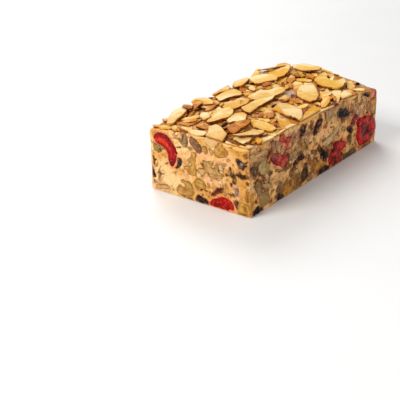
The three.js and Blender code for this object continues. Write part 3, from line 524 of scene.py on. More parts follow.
# ------------------------------------------------------------------ colours (linear)

CREAM = np.array([0.95, 0.65, 0.30])
LIGHT = np.array([0.90, 0.53, 0.20])
HONEY = np.array([0.80, 0.42, 0.110])
TAN = np.array([0.58, 0.26, 0.065])
ROSE = np.array([0.86, 0.47, 0.22])
OCHRE = np.array([0.72, 0.335, 0.060])
CRUST = np.array([0.36, 0.13, 0.035])
MAUVE = np.array([0.38, 0.165, 0.085])
DUN = np.array([0.46, 0.23, 0.080])
UMBER = np.array([0.15, 0.060, 0.018])

IVORY = np.array([0.93, 0.76, 0.44])
ALMOND_TONES = {  # white, cream, yellow, golden, amber, toasted, skin-brown, peach, greyish
    "w": IVORY * (0.98, 0.92, 0.80), "c": np.array([0.87, 0.60, 0.205]), "y": np.array([0.84, 0.52, 0.11]), "g": np.array([0.76, 0.40, 0.048]),
    "a": np.array([0.60, 0.235, 0.022]), "t": np.array([0.54, 0.21, 0.032]), "s": np.array([0.50, 0.150, 0.002]),
    "p": np.array([0.80, 0.46, 0.14]), "k": np.array([0.82, 0.55, 0.195]),
}
SKIN_BROWN, SKIN_RED = np.array([0.16, 0.042, 0.009]), np.array([0.32, 0.074, 0.009])

# Soft patches in the batter: face, u, v, a, b, turn, colour, strength
PATCHES = [
    ("end", 8, 4, 9, 3.4, -6, (0.60, 0.34, 0.15), 0.75), ("end", 10, 17, 8, 5, 10, CREAM, 0.8),
    ("end", 16, 9, 9, 5, -10, CREAM, 0.9), ("end", 33, 33, 3.0, 4.0, 0, ROSE, 0.8),
    ("end", 41, 31, 6, 3.4, 0, ROSE, 0.8), ("end", 58, 29, 4.0, 4.0, 0, ROSE, 0.6),
    ("end", 46, 16, 6, 2.6, 0, ROSE, 0.7), ("end", 27, 14, 4, 4, 0, ROSE, 0.5),
    ("end", 9, 25, 6, 5, 0, OCHRE, 0.65), ("end", 5, 38, 6, 2.4, 14, OCHRE, 0.5),
    ("end", 20, 17, 5, 2.4, -8, OCHRE, 0.5), ("end", 66, 38, 7, 3.0, -8, OCHRE, 0.85),
    ("end", 68, 21, 6, 3.6, 0, OCHRE, 0.8), ("end", 70, 12, 4.6, 7, 8, (0.72, 0.34, 0.05), 0.8),
    ("end", 58, 17, 5, 4, 0, OCHRE, 0.45), ("end", 65, 6, 4, 4, 0, OCHRE, 0.4), ("end", 34, 5.4, 4, 2.4, 0, OCHRE, 0.5),
    ("end", 42, 7.0, 4.4, 2.0, 0, OCHRE, 0.6), ("end", 71, 29, 3, 3, 0, TAN, 0.7),
    ("end", 64, 14, 2.4, 4.6, 0, (0.52, 0.33, 0.24), 0.6), ("end", 72, 34, 2, 5, 0, TAN, 0.7),
    ("end", 24, 26, 2.4, 4, 0, HONEY, 0.4), ("end", 52, 30, 4, 2, 0, LIGHT, 0.4),
    ("side", 2.0, 8, 3.0, 8, 0, (0.74, 0.36, 0.06), 0.9), ("side", 2, 17, 4, 4, 0, ROSE, 0.6),
    ("side", 26, 35, 5, 3.6, -24, (0.36, 0.18, 0.10), 0.9), ("side", 45, 33, 8, 6, -14, MAUVE, 0.95),
    ("side", 52, 27, 11, 6, -16, DUN, 0.9), ("side", 58, 30, 6, 5, -10, (0.34, 0.19, 0.10), 0.7),
    ("side", 38, 30, 5, 3.0, -24, (0.50, 0.19, 0.10), 0.85), ("side", 31, 31.6, 5, 2.2, -28, (0.50, 0.24, 0.13), 0.7),
    ("side", 8, 30, 7, 2.4, -12, (0.24, 0.14, 0.07), 0.75), ("side", 4, 25, 5, 2.4, -18, UMBER, 0.5),
    ("side", 12, 21.6, 5, 2.2, -20, ROSE, 0.7), ("side", 20, 16, 4.4, 2.6, -28, (0.16, 0.09, 0.03), 0.5),
    ("side", 30, 15, 6, 2.2, -10, LIGHT, 0.7), ("side", 22, 7, 2.6, 4.4, 0, LIGHT, 0.75),
    ("side", 44, 22.6, 5, 1.6, 0, (0.30, 0.22, 0.13), 0.8), ("side", 34, 20, 4.4, 2.2, -20, (0.34, 0.14, 0.07), 0.8),
    ("side", 66, 26, 8, 4.0, -10, LIGHT, 0.75), ("side", 64, 15, 4.6, 2.0, -20, ROSE, 0.8),
    ("side", 55.5, 7.6, 4.6, 5.8, 8, (0.085, 0.045, 0.02), 0.97), ("side", 51, 4.6, 4.4, 3.4, 0, (0.13, 0.065, 0.02), 0.85),
    ("side", 47, 12.4, 6, 2.2, -10, (0.44, 0.25, 0.07), 0.8), ("side", 30, 6.4, 4.0, 4.0, 0, (0.20, 0.11, 0.05), 0.75),
    ("side", 58, 22, 4, 2.6, 0, LIGHT, 0.4), ("side", 62, 2.6, 5, 2.4, 0, (0.48, 0.26, 0.13), 0.7),
    ("side", 69, 4.0, 4.4, 2.0, 14, (0.20, 0.07, 0.03), 0.7), ("side", 77, 26, 6, 4.0, -10, ROSE, 0.65),
    ("side", 88, 33, 6, 4, -12, (0.56, 0.35, 0.17), 0.8), ("side", 94, 34, 4, 3, 0, (0.22, 0.15, 0.11), 0.7),
    ("side", 86, 29, 7, 2.4, -10, LIGHT, 0.6), ("side", 93, 38, 7, 2.2, -12, (0.34, 0.17, 0.09), 0.7),
    ("side", 101, 37, 6, 2.4, -14, DUN, 0.7), ("side", 104, 28, 5, 2.4, -20, (0.30, 0.15, 0.09), 0.8),
    ("side", 115, 28.4, 6, 3.0, -14, (0.38, 0.17, 0.13), 0.9), ("side", 121, 26, 4, 3, 0, (0.48, 0.25, 0.17), 0.8),
    ("side", 112, 33, 5, 4, -10, DUN, 0.75), ("side", 107, 13.6, 2.8, 4.6, 16, (0.26, 0.15, 0.05), 0.8),
    ("side", 113, 14, 3, 7, 0, LIGHT, 0.6), ("side", 104, 21.6, 4, 2.2, 0, LIGHT, 0.5),
    ("side", 106, 5.6, 6, 2.0, 0, LIGHT, 0.6), ("side", 110, 3.0, 8, 2.4, 4, (0.20, 0.12, 0.06), 0.75),
    ("side", 131, 28, 6, 3.4, -10, (0.34, 0.16, 0.04), 0.8), ("side", 138, 24, 4, 2.6, 0, (0.64, 0.36, 0.11), 0.8),
    ("side", 140, 30, 3, 5, 0, (0.62, 0.24, 0.05), 0.8), ("side", 134.6, 34, 2.6, 2.8, 0, (0.80, 0.40, 0.24), 0.85),
    ("side", 127, 31, 4.4, 3, -20, (0.50, 0.32, 0.16), 0.7), ("side", 141, 5, 3, 4, 0, HONEY, 0.6),
    ("side", 71, 13, 3, 3, 0, (0.58, 0.30, 0.11), 0.5), ("side", 84, 15, 5, 2, -18, LIGHT, 0.6),
    ("side", 99, 18, 4, 2, 0, LIGHT, 0.6), ("side", 121, 36, 5, 2, -14, LIGHT, 0.5),
]


def patch_over(paint, q, p3, u, v, a, b, turn, colour, strength, seed):
    d = turned(q - (u, v), -turn) / (a, b)
    r = np.linalg.norm(d, axis=1)
    near = r < 1.7
    if not near.any():
        return
    edge = r[near] + 0.75 * (fbm(p3[near], 2.6, seed, 3) - 0.5)
    m = strength * (1 - step(0.72, 1.12, edge))
    paint[near] = lerp(paint[near], np.asarray(colour), m[:, None])


# ------------------------------------------------------------------ the batter block


def grid_lines(span, count, edges=(0.22, 0.55, 1.1)):
    e = np.array(edges)
    return np.concatenate([[0], e, np.linspace(edges[-1], span - edges[-1], count)[1:-1], (span - e)[::-1], [span]])


def make_cake():
    xs, ys, ts = grid_lines(LENGTH, 244), grid_lines(WIDTH, 124), grid_lines(40.0, 68) / 40.0
    nx, ny, nt = len(xs), len(ys), len(ts)
    index = np.full((nx, ny, nt), -1)
    shell = np.zeros((nx, ny, nt), bool)
    shell[0], shell[-1], shell[:, 0], shell[:, -1], shell[:, :, -1] = True, True, True, True, True
    index[shell] = np.arange(shell.sum())
    i, j, k = np.nonzero(shell)
    x, y, t = xs[i], ys[j], ts[k]

    # the form, as in the CAD, with the top let down under the almonds
    top = top_height(x, y) - top_sink(x, y)
    top = top - round_off(x, 0.5) - round_off(y, 0.5) - round_off(LENGTH - x, 3.2) - round_off(WIDTH - y, 2.0)
    px = x + (far_x(y, t) - LENGTH) * smooth((x / LENGTH - 0.9) / 0.1)
    py = y + (back_y(x, t) - WIDTH) * smooth((y / WIDTH - 0.85) / 0.15)
    p = np.stack([px, py, t * top], 1)

    quads, uvs = [], []
    rooms = {  # where each face lies on the map, mm: left, bottom, scale
        "side": (2, 2, 1.0), "end": (150, 2, 1.0), "back": (2, 52, 1.0), "far": (150, 52, 1.0), "top": (2, 102, 1.0), "base": (150, 102, 0.45),
    }
    across = 226.0

    def face(a, b, flip, name, ca, cb):
        """Quads over an index grid; ca and cb are each row's and column's place on the map in mm."""
        q = np.stack([a[:-1, :-1], a[1:, :-1], a[1:, 1:], a[:-1, 1:]], -1)
        g = np.stack(np.meshgrid(ca, cb, indexing="ij"), -1)
        m = np.stack([g[:-1, :-1], g[1:, :-1], g[1:, 1:], g[:-1, 1:]], -2)
        if flip:
            q, m = q[..., ::-1], m[..., ::-1, :]
        left, bottom, scale = rooms[name]
        quads.append(q.reshape(-1, 4))
        uvs.append(((m * scale + (left, bottom)) / across).reshape(-1, 2))

    face(index[0], None, True, "end", WIDTH - ys, ts * 42)
    face(index[-1], None, False, "far", ys, ts * 42)
    face(index[:, 0], None, False, "side", xs, ts * 42)
    face(index[:, -1], None, True, "back", LENGTH - xs, ts * 42)
    face(index[:, :, -1], None, False, "top", xs, ys)
    quads, uvs = np.concatenate(quads), np.concatenate(uvs)
    rim = np.concatenate([index[:-1, 0, 0], index[-1, :-1, 0], index[:0:-1, -1, 0], index[0, :0:-1, 0]])

    # outward normals
    a, b, c, d = (p[quads[:, n]] for n in range(4))
    fn = np.cross(c - a, d - b)
    n = np.zeros_like(p)
    for m in range(4):
        np.add.at(n, quads[:, m], fn)
    n /= np.maximum(np.linalg.norm(n, axis=1), 1e-9)[:, None]

    on_top = k == nt - 1
    where = {"end": (i == 0), "far": (i == nx - 1), "side": (j == 0), "back": (j == ny - 1)}
    uv_of = {"end": lambda q: np.stack([WIDTH - q[:, 1], q[:, 2]], 1), "side": lambda q: q[:, [0, 2]],
             "back": lambda q: np.stack([LENGTH - q[:, 0], q[:, 2]], 1), "far": lambda q: q[:, [1, 2]]}

    # crumb: gentle lumps, fine grain and open pores
    push = 0.22 * (fbm(p, 9.0, 3, 2) - 0.5) + 0.16 * (fbm(p, 2.2, 5, 3) - 0.5)
    d1, who = cells(p, 3.4, 11)
    pore = (1 - step(0.2, 0.62, d1 / (0.5 + 1.0 * who))) * (who > 0.35)
    push -= 0.34 * pore
    rough_faces = np.maximum.reduce([where["far"].astype(float), 0.7 * where["back"], on_top.astype(float)])
    push += rough_faces * 0.7 * (fbm(p, 4.0, 9, 3) - 0.5)
    push += on_top * 0.5 * (fbm(p, 7.0, 13, 3) - 0.5)

    # colours of the batter itself
    warp = p + 2.2 * (np.stack([noise(p, 5, 61), noise(p, 5, 62), noise(p, 5, 63)], 1) - 0.5)
    big, mid, fine = fbm(warp, 13, 21, 3), fbm(warp, 4.6, 22, 3), fbm(warp, 1.7, 23, 2)
    paint = lerp(np.broadcast_to(LIGHT, p.shape), HONEY, step(0.50, 0.72, big)[:, None])
    paint = lerp(paint, CREAM, (0.85 * step(0.46, 0.66, 1 - big) * step(0.3, 0.6, mid))[:, None])
    paint = lerp(paint, ROSE, (0.7 * step(0.56, 0.68, fbm(warp, 7, 24, 3)))[:, None])
    paint = lerp(paint, OCHRE, (0.55 * step(0.58, 0.70, fbm(warp, 5.5, 25, 3)))[:, None])
    paint = lerp(paint, TAN, (0.55 * step(0.60, 0.72, mid))[:, None])
    crease = ridged(warp, 5.2, 26, 2)
    paint = lerp(paint, TAN * 0.82, (0.6 * step(0.80, 0.95, crease) * step(0.4, 0.6, big))[:, None])
    paint = lerp(paint, np.array([0.30, 0.12, 0.03]), (0.7 * step(0.62, 0.70, fbm(warp, 3.2, 27, 4)))[:, None])
    paint = paint * (0.93 + 0.16 * fine)[:, None]

    # the long side and the back are duller, smeared by the knife along their length, and darker in part as painted
    # shade
    streak = np.stack([p[:, 0] + 0.7 * p[:, 2], p[:, 1], 3.2 * p[:, 2] - 1.2 * p[:, 0] * 0.35], 1)
    for name, amount in (("side", 1.0), ("back", 0.8), ("far", 0.55)):
        m = where[name] & ~on_top
        dull = 0.42 + 0.5 * fbm(streak[m], 9, 31, 3)
        dun = lerp(np.broadcast_to(DUN, (m.sum(), 3)), LIGHT * 0.86, step(0.42, 0.62, fbm(warp[m], 8, 33, 3))[:, None])
        paint[m] = lerp(paint[m], dun, (amount * dull)[:, None])
        paint[m] = lerp(paint[m], DUN * 0.6, (amount * 0.6 * step(0.54, 0.70, fbm(streak[m], 5, 35, 3)))[:, None])
        paint[m] = lerp(paint[m], LIGHT * (1.0, 1.04, 1.1), (amount * 0.75 * step(0.56, 0.66, fbm(warp[m], 4.4, 37, 3)))[:, None])
        paint[m] = lerp(paint[m], np.array([0.17, 0.062, 0.016]), (amount * 0.8 * step(0.61, 0.69, fbm(warp[m], 3.4, 36, 4)))[:, None])
    m = where["side"] & ~on_top
    # painted light: the long side is made brighter near the cut end; it is also darker towards the far end and the
    # bottom
    deep = step(20, 90, p[m, 0]) * (0.7 + 0.3 * step(30, 10, p[m, 2]))
    paint[m] = paint[m] * (1.08, 1.0, 0.94) * (1 - deep[:, None] * (0.05, 0.26, 0.42)) * (1 + 0.14 * step(34, 8, p[m, 0]))[:, None]
    m = where["end"] & ~on_top
    paint[m] = paint[m] * (1 - (step(34, 10, p[m, 1]))[:, None] * (0.07, 0.10, 0.14))
    m = (where["side"] | where["back"]) & ~on_top
    light = np.array([1.0, 0.60, 0.25]) * (1 - step(20, 90, p[m, 0])[:, None] * (0.0, 0.14, 0.26))
    paint[m] = lerp(paint[m], light, 0.85 * step(0.51, 0.59, fbm(warp[m], 6.0, 38, 3)))
    paint[m] = lerp(paint[m], np.array([0.16, 0.048, 0.008]), 0.88 * step(0.560, 0.615, fbm(warp[m], 5.5, 39, 4)))
    m = (where["side"] | where["back"] | (where["end"] & (p[:, 1] < 40))) & ~on_top
    winding = np.abs(fbm(warp[m], 7.0, 45, 3) - 0.5)
    line = (1 - step(0.014, 0.036, winding)) * step(0.47, 0.56, fbm(p[m], 12, 46, 2))
    paint[m] = lerp(paint[m], np.array([0.11, 0.032, 0.006]), 0.85 * line)
    m = where["end"] & ~on_top
    paint[m] = np.array([0.76, 0.42, 0.145]) * (paint[m] / (0.76, 0.42, 0.145)) ** 1.35
    for number, (face_name, u, v, a_, b_, turn, colour, strength) in enumerate(PATCHES):
        m = np.nonzero(where[face_name])[0]
        part = paint[m]
        patch_over(part, uv_of[face_name](p[m]), p[m], u, v, a_, b_, turn, colour, strength, 200 + number)
        paint[m] = part

    # baked skin: the far end, its edges and the foot of the back
    bake = 0.75 * step(LENGTH - 2.5, LENGTH - 0.6, px) * step(0.35, 0.75, fbm(p, 10, 41, 3) + 0.15)
    bake = np.maximum(bake, 0.75 * step(1.6, 0.0, p[:, 2]) * (where["back"] | where["far"]))
    bake = np.maximum(bake, 0.6 * step(WIDTH - 3, WIDTH, py) * step(36, 41, p[:, 2]))
    crust = lerp(np.broadcast_to(CRUST * 1.5, p.shape), OCHRE * 0.8, fbm(p, 3.0, 43, 3)[:, None])
    paint = lerp(paint, crust, (bake * 0.8)[:, None])

    # the top under the almonds: golden crumb, mauve-grey glaze and dark gaps
    m = on_top
    glaze = fbm(warp[m], 9, 51, 3)
    tone = lerp(np.broadcast_to(np.array([0.70, 0.30, 0.045]), (m.sum(), 3)), np.array([0.52, 0.26, 0.11]), step(0.46, 0.60, glaze)[:, None])
    tone = lerp(tone, np.array([0.80, 0.43, 0.11]), step(0.54, 0.68, fbm(warp[m], 6, 52, 3))[:, None])
    tone = lerp(tone, np.array([0.36, 0.085, 0.014]), (0.9 * step(0.56, 0.68, fbm(warp[m], 4.4, 53, 3)))[:, None])
    rimward = np.minimum(x[m], y[m])
    paint[m] = lerp(tone, paint[m], (1 - step(0.2, 2.2, rimward))[:, None])
    for u, v, a_, b_, turn, colour in GLAZED:
        part = paint[m]
        patch_over(part, p[m][:, :2], p[m], u, v, a_, b_, turn, colour, 0.9, 300)
        paint[m] = part

    # seats for what is set in, a shallow groove around each, and juice that soaked the crumb
    seat = np.zeros(len(p))
    groove = np.zeros(len(p))
    for name, kind, face_name, outline in PIECES:
        m = where[face_name]
        q = uv_of[face_name](p[m])
        low, high = outline.min(0) - 3.2, outline.max(0) + 3.2
        near = ((q > low) & (q < high)).all(1)
        if not near.any():
            continue
        at = np.nonzero(m)[0][near]
        s = signed_distance(outline, q[near])
        seat[at] = np.maximum(seat[at], step(-0.25, -0.8, s))
        groove[at] = np.maximum(groove[at], 1 - step(0.15, 0.9, np.abs(s + 0.1)))
        if kind == "cherry":
            wet = (1 - step(0.2, 2.2, s + 1.2 * (fbm(p[at], 2.4, 71, 2) - 0.5))) * 0.62
            paint[at] = lerp(paint[at], paint[at] * (1.0, 0.42, 0.34), wet[:, None])
        elif kind in ("walnut", "raisin", "skin"):
            patchy = step(0.38, 0.60, fbm(p[at], 3.4, 73, 2)) if kind == "walnut" else 1.0
            reach = 1.1 if face_name in ("side", "back") else 0.6
            dark = (1 - step(0.1, reach, np.abs(s))) * 0.8 * patchy
            paint[at] = lerp(paint[at], paint[at] * (0.50, 0.36, 0.24), dark[:, None])
        else:
            dark = (1 - step(0.1, 1.2, np.abs(s))) * 0.4
            paint[at] = lerp(paint[at], OCHRE * 0.6, dark[:, None])
    side_on = ~on_top
    push = np.where(side_on, push - 0.07 * groove * (1 - seat), push)
    push = np.where(seat > 0, push * (1 - seat) - 1.3 * seat, push)
    keep = (k > 0) | (np.abs(n[:, 2]) < 0.5)
    p = p + n * push[:, None] * keep[:, None]
    p[:, 2] = np.maximum(p[:, 2], 0.0)
    p[k == 0, 2] = 0.0

    # painted shade: the pores' colour is darkened where they sink in
    paint = np.where(pore[:, None] > 0, paint * (1 - 0.42 * pore[:, None]), paint)
    batch = Batch()
    gloss = np.where(on_top, 0.75, np.where(where["side"], 0.45, 0.3))
    mottle = np.where(on_top, 0.5, np.where(where["side"] | where["back"], 1.0, np.where(where["far"], 0.8, 0.42)))
    batch.add(p, [], np.clip(paint, 0.004, 0.97), gloss=gloss, mottle=mottle)
    batch.f = [tuple(q) for q in quads.tolist()] + [tuple(int(r) for r in rim[::-1])]
    left, bottom, scale = rooms["base"]
    base_uv = (p[rim[::-1]][:, :2] * scale + (left, bottom)) / across
    return build("cake_crumb", batch, BATTER, "batter", ["cake"], uv=np.concatenate([uvs, base_uv]))


# glazed batter that shows between the slices: x, y, a, b, turn, colour
GREY = np.array([0.50, 0.33, 0.26])
GLAZED = [
    (88, 33, 7, 5, 20, GREY), (101, 29, 6, 3.4, 20, GREY), (72, 27, 8, 3.2, -8, (0.46, 0.27, 0.16)),
    (55, 24, 9, 4.0, 6, (0.44, 0.25, 0.15)), (84, 27, 4, 3, 0, (0.24, 0.07, 0.04)), (46, 24, 5, 3, 0, GREY * 0.9),
    (66, 51, 5, 3, 0, (0.66, 0.36, 0.14)), (47, 54, 6, 3, 0, (0.62, 0.30, 0.10)), (100, 48, 5, 3, 0, (0.6, 0.3, 0.12)),
]

# ------------------------------------------------------------------ materials


class Graph:
    """A short way to wire a material's nodes."""

    def __init__(self, name):
        self.mat = bpy.data.materials.new(name)
        self.mat.use_nodes = True
        self.nt = self.mat.node_tree
        self.nt.nodes.clear()
        self.out = self.node("ShaderNodeOutputMaterial")
        self.coord = self.node("ShaderNodeTexCoord").outputs["Object"]

    def node(self, kind, **props):
        n = self.nt.nodes.new(kind)
        for k, v in props.items():
            setattr(n, k, v)
        return n

    def put(self, socket, value):
        if isinstance(value, bpy.types.NodeSocket):
            self.nt.links.new(value, socket)
        elif value is not None:
            if socket.type == "RGBA":
                socket.default_value = (*value, 1.0)
            else:
                socket.default_value = value

    def attribute(self, name, colour=False):
        n = self.node("ShaderNodeAttribute", attribute_name=name)
        return n.outputs["Color" if colour else "Fac"]

    def noise(self, size_mm, detail=3.0, rough=0.55, distort=0.0, shift=0.0, kind="FBM"):
        m = self.node("ShaderNodeMapping")
        m.inputs["Location"].default_value = (shift, shift * 1.7, -shift)
        self.put(m.inputs["Vector"], self.coord)
        n = self.node("ShaderNodeTexNoise", noise_dimensions="3D", noise_type=kind)
        self.put(n.inputs["Vector"], m.outputs["Vector"])
        n.inputs["Scale"].default_value = 1000.0 / size_mm
        n.inputs["Detail"].default_value = detail
        n.inputs["Roughness"].default_value = rough
        n.inputs["Distortion"].default_value = distort
        return n.outputs["Fac"]

    def voronoi(self, size_mm, feature="F1", out="Distance", shift=0.0):
        m = self.node("ShaderNodeMapping")
        m.inputs["Location"].default_value = (shift, -shift, shift * 0.6)
        self.put(m.inputs["Vector"], self.coord)
        n = self.node("ShaderNodeTexVoronoi", feature=feature)
        self.put(n.inputs["Vector"], m.outputs["Vector"])
        n.inputs["Scale"].default_value = 1000.0 / size_mm
        return n.outputs[out]

    def span(self, value, a, b, c=0.0, d=1.0):
        n = self.node("ShaderNodeMapRange", interpolation_type="SMOOTHSTEP")
        self.put(n.inputs["Value"], value)
        n.inputs["From Min"].default_value, n.inputs["From Max"].default_value = a, b
        n.inputs["To Min"].default_value, n.inputs["To Max"].default_value = c, d
        return n.outputs["Result"]

    def math(self, op, a, b=None):
        n = self.node("ShaderNodeMath", operation=op)
        self.put(n.inputs[0], a)
        if b is not None:
            self.put(n.inputs[1], b)
        return n.outputs[0]

    def mix(self, fac, a, b, mode="MIX"):
        n = self.node("ShaderNodeMix", data_type="RGBA", blend_type=mode, clamp_factor=True)
        self.put(n.inputs[0], fac)
        self.put(n.inputs[6], a)
        self.put(n.inputs[7], b)
        return n.outputs[2]

    def bump(self, height, distance_mm, strength=1.0, normal=None):
        n = self.node("ShaderNodeBump")
        n.inputs["Strength"].default_value = strength
        n.inputs["Distance"].default_value = distance_mm / 1000.0
        self.put(n.inputs["Height"], height)
        if normal is not None:
            self.put(n.inputs["Normal"], normal)
        return n.outputs["Normal"]

    def surface(self, **sockets):
        p = self.node("ShaderNodeBsdfPrincipled")
        names = {"colour": "Base Color", "rough": "Roughness", "normal": "Normal", "coat": "Coat Weight",
                 "coat_rough": "Coat Roughness", "sss": "Subsurface Weight", "sss_radius": "Subsurface Radius",
                 "sss_scale": "Subsurface Scale", "spec": "Specular IOR Level", "ior": "IOR", "coat_normal": "Coat Normal"}
        for k, v in sockets.items():
            self.put(p.inputs[names[k]], v)
        self.nt.links.new(p.outputs[0], self.out.inputs["Surface"])
        return self.mat


def batter_material():
    g = Graph("batter")
    paint = g.attribute("paint", True)
    fine = g.noise(1.1, 4, 0.6, 0.4)
    grain = g.noise(0.45, 2, 0.6, 0.0, 0.3)
    veins = g.noise(2.6, 5, 0.62, 0.9, 0.7)
    c = g.mix(g.span(veins, 0.50, 0.66, 0.0, 0.5), paint, (0.86, 0.74, 0.62), "MULTIPLY")
    c = g.mix(g.span(fine, 0.44, 0.72, 0.0, 0.55), c, (0.84, 0.68, 0.50), "MULTIPLY")
    c = g.mix(g.span(fine, 0.46, 0.26, 0.0, 0.30), c, (1.0, 0.93, 0.82), "SCREEN")
    fleck = g.span(g.noise(0.8, 2, 0.5, 0.0, 1.9), 0.67, 0.72, 0.0, 0.75)
    c = g.mix(fleck, c, (0.42, 0.22, 0.07), "MULTIPLY")
    mottle = g.attribute("mottle")
    crumbs = g.noise(4.8, 4, 0.60, 0.7, 2.6)
    c = g.mix(g.math("MULTIPLY", mottle, g.span(crumbs, 0.54, 0.63, 0.0, 0.9)), c, (0.36, 0.22, 0.11), "MULTIPLY")
    c = g.mix(g.math("MULTIPLY", mottle, g.span(crumbs, 0.45, 0.37, 0.0, 0.6)), c, (0.95, 0.58, 0.24))
    height = g.math("ADD", g.math("MULTIPLY", fine, 0.7), g.math("MULTIPLY", grain, 0.35))
    height = g.math("ADD", height, g.math("MULTIPLY", g.span(veins, 0.35, 0.7), 0.3))
    normal = g.bump(height, 0.35, 0.75)
    gloss = g.attribute("gloss")
    rough = g.math("SUBTRACT", 0.80, g.math("MULTIPLY", gloss, g.span(fine, 0.3, 0.7, 0.30, 0.62)))
    return g.surface(colour=c, rough=rough, normal=normal, spec=0.05, sss=0.05, sss_radius=(1.0, 0.45, 0.2), sss_scale=0.0012)


def nut_material(name):
    g = Graph(name)
    paint = g.attribute("paint", True)
    soft = g.noise(2.2, 3, 0.5, 0.6)
    fine = g.noise(0.6, 3, 0.6)
    c = g.mix(g.span(soft, 0.42, 0.66, 0.0, 0.55), paint, (0.80, 0.72, 0.60), "MULTIPLY")
    c = g.mix(g.span(fine, 0.45, 0.75, 0.0, 0.35), c, (0.80, 0.70, 0.55), "MULTIPLY")
    normal = g.bump(g.math("ADD", g.math("MULTIPLY", fine, 0.5), soft), 0.16, 0.6)
    return g.surface(colour=c, rough=g.span(soft, 0.3, 0.7, 0.42, 0.58), normal=normal, spec=0.10, sss=0.04,
                     sss_radius=(1.0, 0.6, 0.3), sss_scale=0.001)


def cherry_material():
    g = Graph("cherry")
    paint = g.attribute("paint", True)
    soft = g.noise(1.9, 4, 0.6, 0.8)
    fine = g.noise(0.55, 3, 0.6)
    c = g.mix(g.span(soft, 0.40, 0.62, 0.0, 0.75), paint, (0.50, 0.25, 0.25), "MULTIPLY")
    # painted highlight: bright specks screened over the colour stand in for glints
    c = g.mix(g.span(fine, 0.64, 0.78, 0.0, 0.15), c, (1.0, 0.30, 0.16), "SCREEN")
    normal = g.bump(g.math("ADD", g.math("MULTIPLY", fine, 0.4), soft), 0.30, 0.85)
    return g.surface(colour=c, rough=0.22, normal=normal, coat=0.04, coat_rough=0.04, sss=0.05,
                     sss_radius=(1.0, 0.05, 0.03), sss_scale=0.0012, spec=0.05)


def raisin_material():
    g = Graph("raisin")
    paint = g.attribute("paint", True)
    soft = g.noise(1.6, 4, 0.65, 1.2)
    fine = g.noise(0.5, 3, 0.6)
    # painted light and shade: brown lightening on the bump's raised lumps, darkening in its hollows
    c = g.mix(g.span(soft, 0.54, 0.74, 0.0, 0.25), paint, (0.30, 0.10, 0.05), "SCREEN")
    c = g.mix(g.span(soft, 0.50, 0.30, 0.0, 0.7), c, (0.35, 0.35, 0.4), "MULTIPLY")
    normal = g.bump(g.math("ADD", g.math("MULTIPLY", fine, 0.35), soft), 0.5, 1.0)
    return g.surface(colour=c, rough=g.span(fine, 0.3, 0.7, 0.30, 0.48), normal=normal, spec=0.03, coat=0.015, coat_rough=0.2)


def peel_material():
    g = Graph("peel")
    paint = g.attribute("paint", True)
    soft = g.noise(2.4, 3, 0.55, 0.8)
    fine = g.noise(0.7, 3, 0.6)
    c = g.mix(g.span(soft, 0.40, 0.66, 0.0, 0.6), paint, (0.72, 0.55, 0.30), "MULTIPLY")
    normal = g.bump(g.math("ADD", g.math("MULTIPLY", fine, 0.45), soft), 0.22, 0.7)
    return g.surface(colour=c, rough=0.36, normal=normal, coat=0.06, coat_rough=0.12, sss=0.08,
                     sss_radius=(1.0, 0.45, 0.10), sss_scale=0.0014, spec=0.14)


def almond_material():
    g = Graph("almond")
    paint = g.attribute("paint", True)
    soft = g.noise(3.2, 3, 0.55, 0.5)
    fine = g.noise(0.7, 4, 0.6)
    toast = g.span(g.noise(2.2, 3, 0.55, 0.8, 2.3), 0.50, 0.70, 0.0, 0.4)
    c = g.mix(toast, paint, (0.94, 0.78, 0.46), "MULTIPLY")
    c = g.mix(g.span(soft, 0.45, 0.68, 0.0, 0.30), c, (0.96, 0.86, 0.66), "MULTIPLY")
    normal = g.bump(g.math("ADD", g.math("MULTIPLY", fine, 0.6), soft), 0.26, 0.8)
    return g.surface(colour=c, rough=g.span(fine, 0.3, 0.7, 0.36, 0.56), normal=normal, spec=0.04, coat=0.02,
                     coat_rough=0.15, sss=0.06, sss_radius=(1.0, 0.7, 0.4), sss_scale=0.001)


def skin_material():
    g = Graph("nut_skin")
    paint = g.attribute("paint", True)
    streak = g.noise(1.1, 4, 0.65, 1.0)
    c = g.mix(g.span(streak, 0.42, 0.64, 0.0, 0.8), paint, (0.50, 0.36, 0.28), "MULTIPLY")
    c = g.mix(g.span(streak, 0.45, 0.25, 0.0, 0.25), c, (0.8, 0.42, 0.2), "SCREEN")
    normal = g.bump(streak, 0.25, 0.8)
    return g.surface(colour=c, rough=0.46, normal=normal, spec=0.12, coat=0.02, coat_rough=0.3)


BATTER, WALNUT, CHERRY = batter_material(), nut_material("walnut"), cherry_material()
RAISIN, PEEL, ALMOND, SKIN = raisin_material(), peel_material(), almond_material(), skin_material()

# ------------------------------------------------------------------ set-in pieces as meshes

